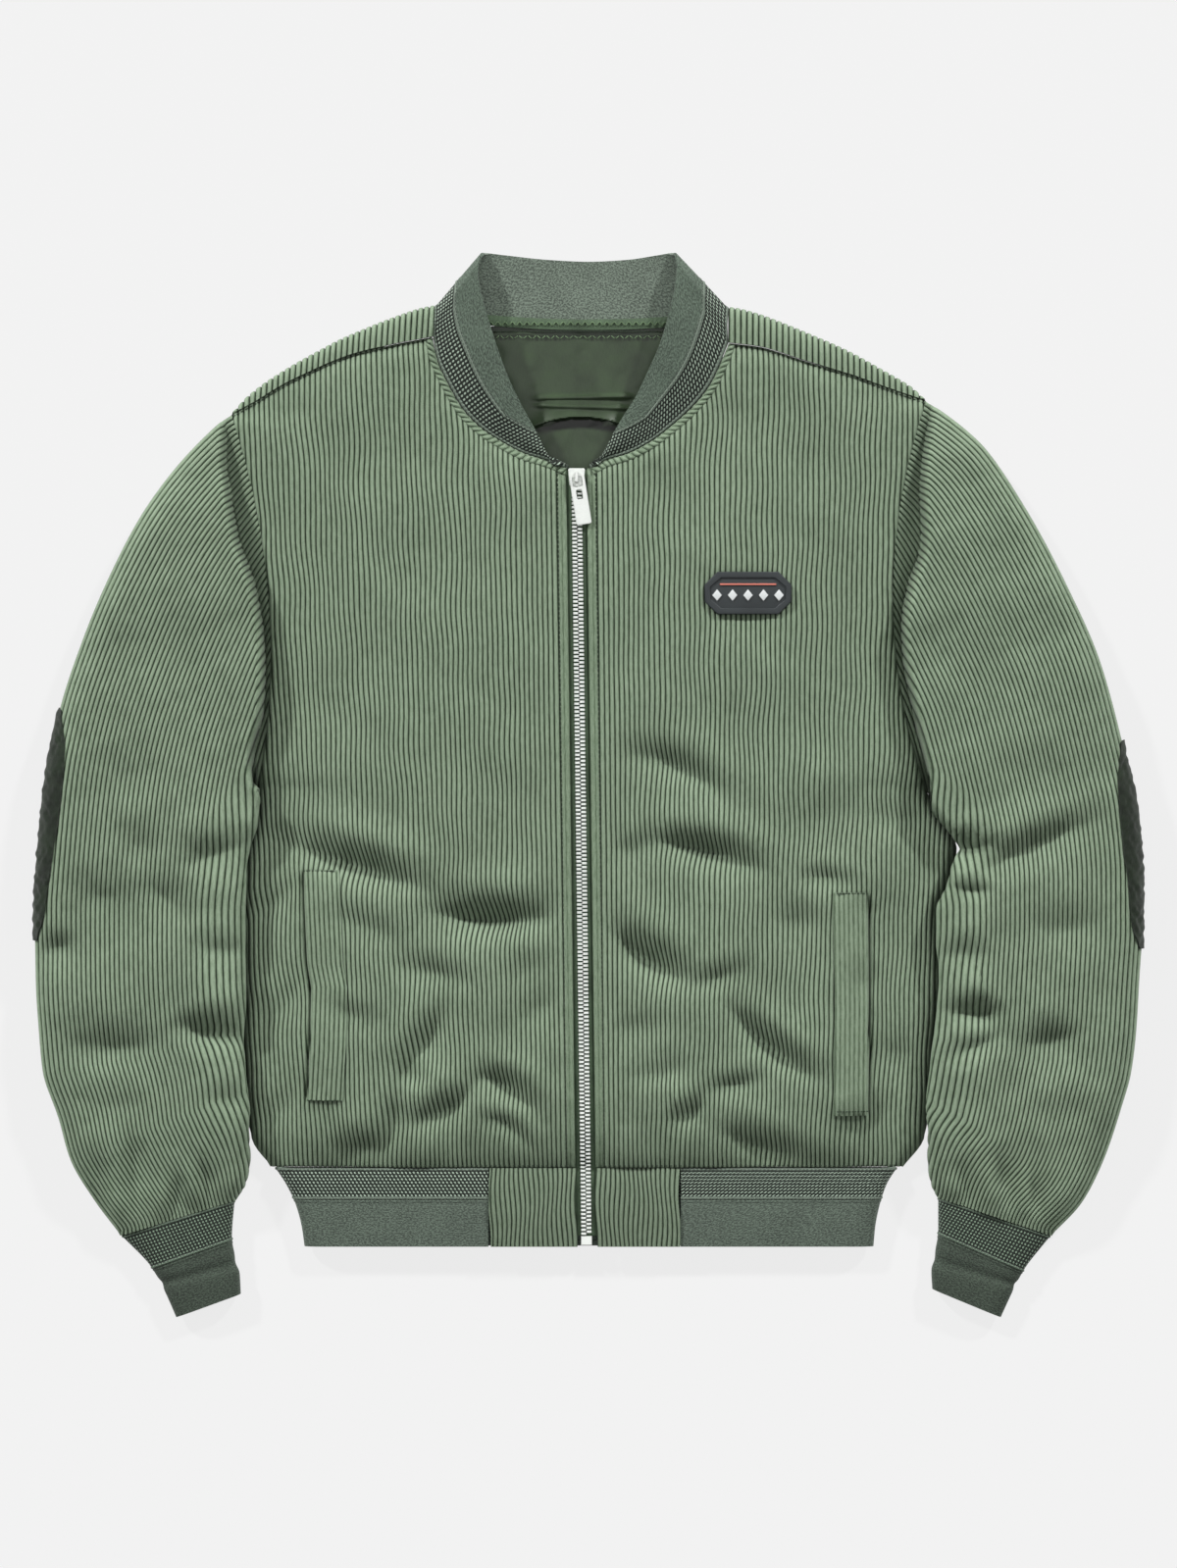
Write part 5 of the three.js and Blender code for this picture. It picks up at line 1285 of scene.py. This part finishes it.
def add_patch(side, sleeve):
    reach_at = curve((6, 6.5, 7, 7.5, 8, 8.5, 9, 9.4), (3, 13, 15, 14.5, 12.5, 11, 9, 3))
    s = np.linspace(6, 9.4, 120)
    reach = reach_at(s)[:, None]
    width = sleeve.width(s)[:, None]
    over = np.linspace(1, 0, 14) ** 1.5
    under = np.linspace(0, 1, 5)[1:] * 0.3
    top_d = width - over[None, :] * reach
    low_d = width - under[None, :] * UNDER_ROLL
    rows = np.broadcast_to(s[:, None], top_d.shape), np.broadcast_to(s[:, None], low_d.shape)
    base = np.concatenate([sleeve.top(rows[0], top_d), sleeve.bottom(rows[1], low_d)], 1)
    normals = unit(np.cross(np.gradient(base, axis=1), np.gradient(base, axis=0))) * sleeve.face
    wrinkle = 0.45 * soft_noise(base[..., 0] * 1.6, base[..., 1], 9, 11)
    wrinkle = wrinkle + 0.3 * soft_noise(base[..., 0], base[..., 1], 4.5, 12)
    outer = base + normals * (2.1 + wrinkle)[..., None]
    grain = np.stack([0 * base[..., 0], base[..., 1], 0 * base[..., 0]], -1)
    made = shell(f"elbow_patch_{side}_suede", outer, outer, normals, 1.1, SUEDE, grain, column_step=3)
    settle(made, "jacket", "suede", f"elbow_patch_{side}")


def along_line(line, pitch):
    """Points about a pitch apart on a chain of points, and the direction of the chain there."""
    run = np.concatenate([[0], np.cumsum(np.linalg.norm(np.diff(line, axis=0), axis=-1))])
    places = np.arange(pitch / 2, run[-1], pitch)
    direction = unit(np.gradient(line, axis=0))
    x, y, dx, dy = (np.interp(places, run, values) for values in (*line.T, *direction.T))
    return places, x, y, np.arctan2(dy, dx)


def add_neck_seam(side, front):
    """The puffy turned edge of a front along the collar, with a notch at each wale."""
    width = 5.4
    places, x, y, angle = along_line(front.neck, NECK_PUFF / 8)
    across = np.linspace(0, 1, 9)[None, :]
    into = np.stack([np.sin(angle), -np.cos(angle)], -1) * -front.face
    into *= np.where(into[:, 1:] > 0, -1, 1)
    px, py = x[:, None] + width * across * into[:, :1], y[:, None] + width * across * into[:, 1:]
    lean = np.clip(np.abs(np.tan(angle)), 0, 0.9)[:, None]
    phase = (places[:, None] - lean * width * across) / NECK_PUFF
    puff = np.sqrt(np.maximum(1 - (2 * np.mod(phase, 1) - 1) ** 2, 0))
    base = np.stack([px, py, front.height(px, py) + 0.5], -1)
    normals = facing(base, 1)
    outer = base + normals * (np.sin(math.pi * across) ** 0.6 * (0.5 + 1.6 * puff))[..., None]
    # The third value picks the corduroy's colour: painted shade in each notch, painted light on each puff.
    grain = np.stack([phase * NECK_PUFF, py, 0.1 + 0.8 * puff], -1)
    made = shell(f"neck_seam_{side}_cloth", outer, base, normals, 1.0, CORDUROY, grain, column_step=4)
    settle(made, "jacket", "corduroy")


def add_stitches(name, line, height, material, slot_name, pitch=3.4, length=2.3, lift=0.6, lean=0.0):
    """A sewn line on the cloth, one small raised stitch after another."""
    _, x, y, angle = along_line(np.asarray(line, float), pitch)
    z = height(x, y) + lift
    turn = angle + lean * np.where(np.arange(len(x)) % 2, 1, -1)
    made = boxes(name, zip(x, y, z, turn), (length / 2, 0.36, 0.32), material, taper=0.6)
    settle(made, "jacket", slot_name)


def add_sewing(fronts):
    for side, front in fronts.items():
        add_neck_seam(side, front)
        ys = np.linspace(222, HEM_SEAM_Y + 2, 90)
        placket = np.stack([front.zip_edge(ys) - front.face * PLACKET, ys], -1)
        add_stitches(f"placket_stitches_{side}", placket, front.height, THREAD, "corduroy", lift=0.5)
        shoulder = front.shoulder - (0, 1.6)
        add_stitches(f"shoulder_stitches_{side}", shoulder, front.height, THREAD, "corduroy", lift=0.9)
        hem_x = np.linspace(front.zip_edge(HEM_SEAM_Y) - front.face * 2, front.xs[0] + front.face * 4, 60)
        hem = np.stack([hem_x, np.full(60, HEM_SEAM_Y + 0.9)], -1)
        add_stitches(f"hem_stitches_{side}", hem, front.height, THREAD, "corduroy",
                     pitch=HEM_PITCH, length=1.5, lift=1.0)
        slit = SLITS[side]
        for end in (0, -1):
            start = np.array([slit["x"][end], slit["y"][end] + (2.5 if end else 0)])
            bar = np.stack([start, start + (front.face * 24, 0)])
            name = f"pocket_stitches_{side}_{'top' if end else 'low'}"
            add_stitches(name, bar, front.height, THREAD, "corduroy", pitch=2.1, length=1.5, lift=2.6)
    tape = np.stack([np.linspace(-70, 64, 60), np.full(60, 329.5)], -1)

    def flat(x, y):
        return np.zeros(np.shape(x))

    add_stitches("tape_zigzag", tape, flat, THREAD_LIGHT, "tape", pitch=2.6, length=3.4, lift=5.9, lean=0.9)
    add_stitches("tape_line", tape - (0, 5.6), flat, THREAD, "tape", pitch=2.6, length=2.4, lift=5.0)
    add_stitches("lining_loops", tape - (0, 9.5), flat, THREAD_LIGHT, "lining", pitch=3.3, length=2.8,
                 lift=3.9, lean=0.7)


def add_badge(front):
    left, right, bottom, top = BADGE_BOX
    cx, cy = (left + right) / 2, (bottom + top) / 2
    z = float(front.height(np.array([cx]), np.array([cy]))[0])
    outline = []
    for sx, sy in ((1, 1), (-1, 1), (-1, -1), (1, -1)):
        ends = [((right - cx) * sx, (top - cy - BADGE_CORNER) * sy),
                ((right - cx - BADGE_CORNER) * sx, (top - cy) * sy)]
        outline += ends if sx * sy > 0 else ends[::-1]
    inner = [(px * 0.87, py * 0.72) for px, py in outline]
    plate_v, plate_f = plate("badge_plate", [outline], 2.0)
    rim_v, rim_f = plate("badge_rim", [outline, inner], 2.0, 0.5)
    vertices = np.concatenate([plate_v + (cx, cy, z + 2.0), rim_v + (cx, cy, z + 2.9)])
    faces = [list(f) for f in plate_f] + [[len(plate_v) + k for k in f] for f in rim_f]
    made = new_object("badge_rubber", vertices, faces, BADGE)
    settle(made, "jacket", "badge", "badge")
    vertices, faces = [], []
    for k in range(5):
        px = cx - 22 + 11 * k
        diamond = [(px - 3.4, cy - 1.5), (px, cy - 5.6), (px + 3.4, cy - 1.5), (px, cy + 2.6)]
        v, f = plate("badge_mark", [diamond], 1.2, 0.2)
        faces += [[len(vertices) + k for k in polygon] for polygon in f]
        vertices += (v + (0, 0, z + 3.2)).tolist()
    white = new_object("badge_marks", vertices, faces, WHITE)
    settle(white, "jacket", "badge")
    strip = [(cx - 20, cy + 5.6), (cx + 20, cy + 5.6), (cx + 20, cy + 6.8), (cx - 20, cy + 6.8)]
    v, f = plate("badge_line", [strip], 1.2, 0.2)
    line = new_object("badge_line", v + (0, 0, z + 3.2), f, CORAL)
    settle(line, "jacket", "badge")


# Everything together

CORDUROY = corduroy_material()
CORDUROY_BLOCK = corduroy_material("corduroy_hem_block", 0.62)
YARN_DARK, YARN_LIGHT, INSIDE = rgb(20, 29, 21), rgb(166, 184, 166), rgb(107, 119, 107)
KNIT = knit_material("rib_knit", YARN_DARK, YARN_LIGHT, 3.0, 2.2, rgb(84, 98, 85), INSIDE)
# The cuffs' knit: the rib's light yarn and plain knit made darker, painted shade for the fold over the cuffs.
KNIT_CUFF_SHADED = knit_material("rib_knit_cuff_shaded", YARN_DARK, rgb(128, 150, 128), 2.5, 2.3, rgb(60, 71, 60), INSIDE)
KNIT_HEM = knit_material("rib_knit_hem", YARN_DARK, YARN_LIGHT, 2.8, 2.3, rgb(86, 98, 87), INSIDE)
LINING = satin_material("satin_lining", rgb(50, 66, 43))
TAPE = plain_material("zip_tape_weave", rgb(84, 104, 80), grain_size=2600, spread=0.35)
SUEDE = plain_material("suede_cloth", rgb(20, 33, 16), roughness=0.95, sheen=0.15, grain_size=1400,
                       spread=0.6, strength=0.6, depth=0.0006)
THREAD = plain_material("dark_thread", rgb(44, 58, 41), grain_size=2600, spread=0.3)
THREAD_LIGHT = plain_material("green_thread", rgb(104, 128, 94), grain_size=2600, spread=0.3)
METAL = plain_material("bright_zip_metal", (0.8, 0.83, 0.79), roughness=0.35, metallic=0.3, spread=0.05,
                       grain_size=900, strength=0.1)
BADGE = plain_material("badge_dark", rgb(44, 50, 52), roughness=0.5, spread=0.15)
WHITE = plain_material("badge_white", rgb(222, 226, 226), roughness=0.5, spread=0.05)
CORAL = plain_material("badge_coral", rgb(214, 120, 104), roughness=0.5, spread=0.05)

sleeves = {side: add_sleeve(side) for side in TO_BODY}
fronts = {side: add_front(side, sleeves[side]) for side in TO_BODY}
for side in TO_BODY:
    add_cuff(side)
    add_yoke(side, fronts[side])
    add_hem_block(side)
    add_welt(side, fronts[side])
    add_patch(side, sleeves[side])
add_hem()
add_collar(fronts)
add_back(fronts)
add_lining()
add_zip()
add_slider()
add_pull()
add_sewing(fronts)
add_badge(fronts["right"])

# Floor, light and camera

FLOOR_HALF = 3.0
FLOOR_DROP = 0.0002
corners = [(x * FLOOR_HALF, y * FLOOR_HALF, 0) for x, y in ((-1, -1), (1, -1), (1, 1), (-1, 1))]
floor_mesh = bpy.data.meshes.new("floor")
floor_mesh.from_pydata(corners, [], [(0, 1, 2, 3)])
floor = bpy.data.objects.new("floor", floor_mesh)
floor.location.z = -FLOOR_DROP
bpy.context.collection.objects.link(floor)
paper = Nodes("floor_paper", roughness=0.9)
paper.shader.inputs["Emission Color"].default_value = (1, 1, 1, 1)
paper.shader.inputs["Emission Strength"].default_value = 0.79
floor_mesh.materials.append(paper.finish((0.08, 0.08, 0.08, 1)))

world = bpy.data.worlds.new("studio")
bpy.context.scene.world = world
world.use_nodes = True
world.node_tree.nodes["Background"].inputs[0].default_value = (1, 1, 1, 1)
world.node_tree.nodes["Background"].inputs[1].default_value = 0.16

# Two low suns draw the wales and folds, and a broad one overhead softens their shadows. Angles in degrees.
SUNS = (("key_left", -66, 42, 2.75, 4), ("key_right", -66, -36, 2.45, 4), ("overhead", 0, 0, 0.55, 40))
for name, tip, turn, energy, spread in SUNS:
    lamp = bpy.data.lights.new(name, "SUN")
    lamp.energy = energy
    lamp.angle = math.radians(spread)
    sun = bpy.data.objects.new(name, lamp)
    sun.rotation_euler = (math.radians(tip), 0, math.radians(turn))
    bpy.context.collection.objects.link(sun)

CAMERA_PLACE = (0, 0.00035, 3.743)
lens = bpy.data.cameras.new("camera")
lens.sensor_fit = "VERTICAL"
lens.sensor_height = 36
lens.lens = 120
lens.clip_end = 20
camera = bpy.data.objects.new("camera", lens)
camera.location = CAMERA_PLACE
bpy.context.collection.objects.link(camera)
bpy.context.scene.camera = camera
bpy.context.scene.view_settings.view_transform = "Standard"
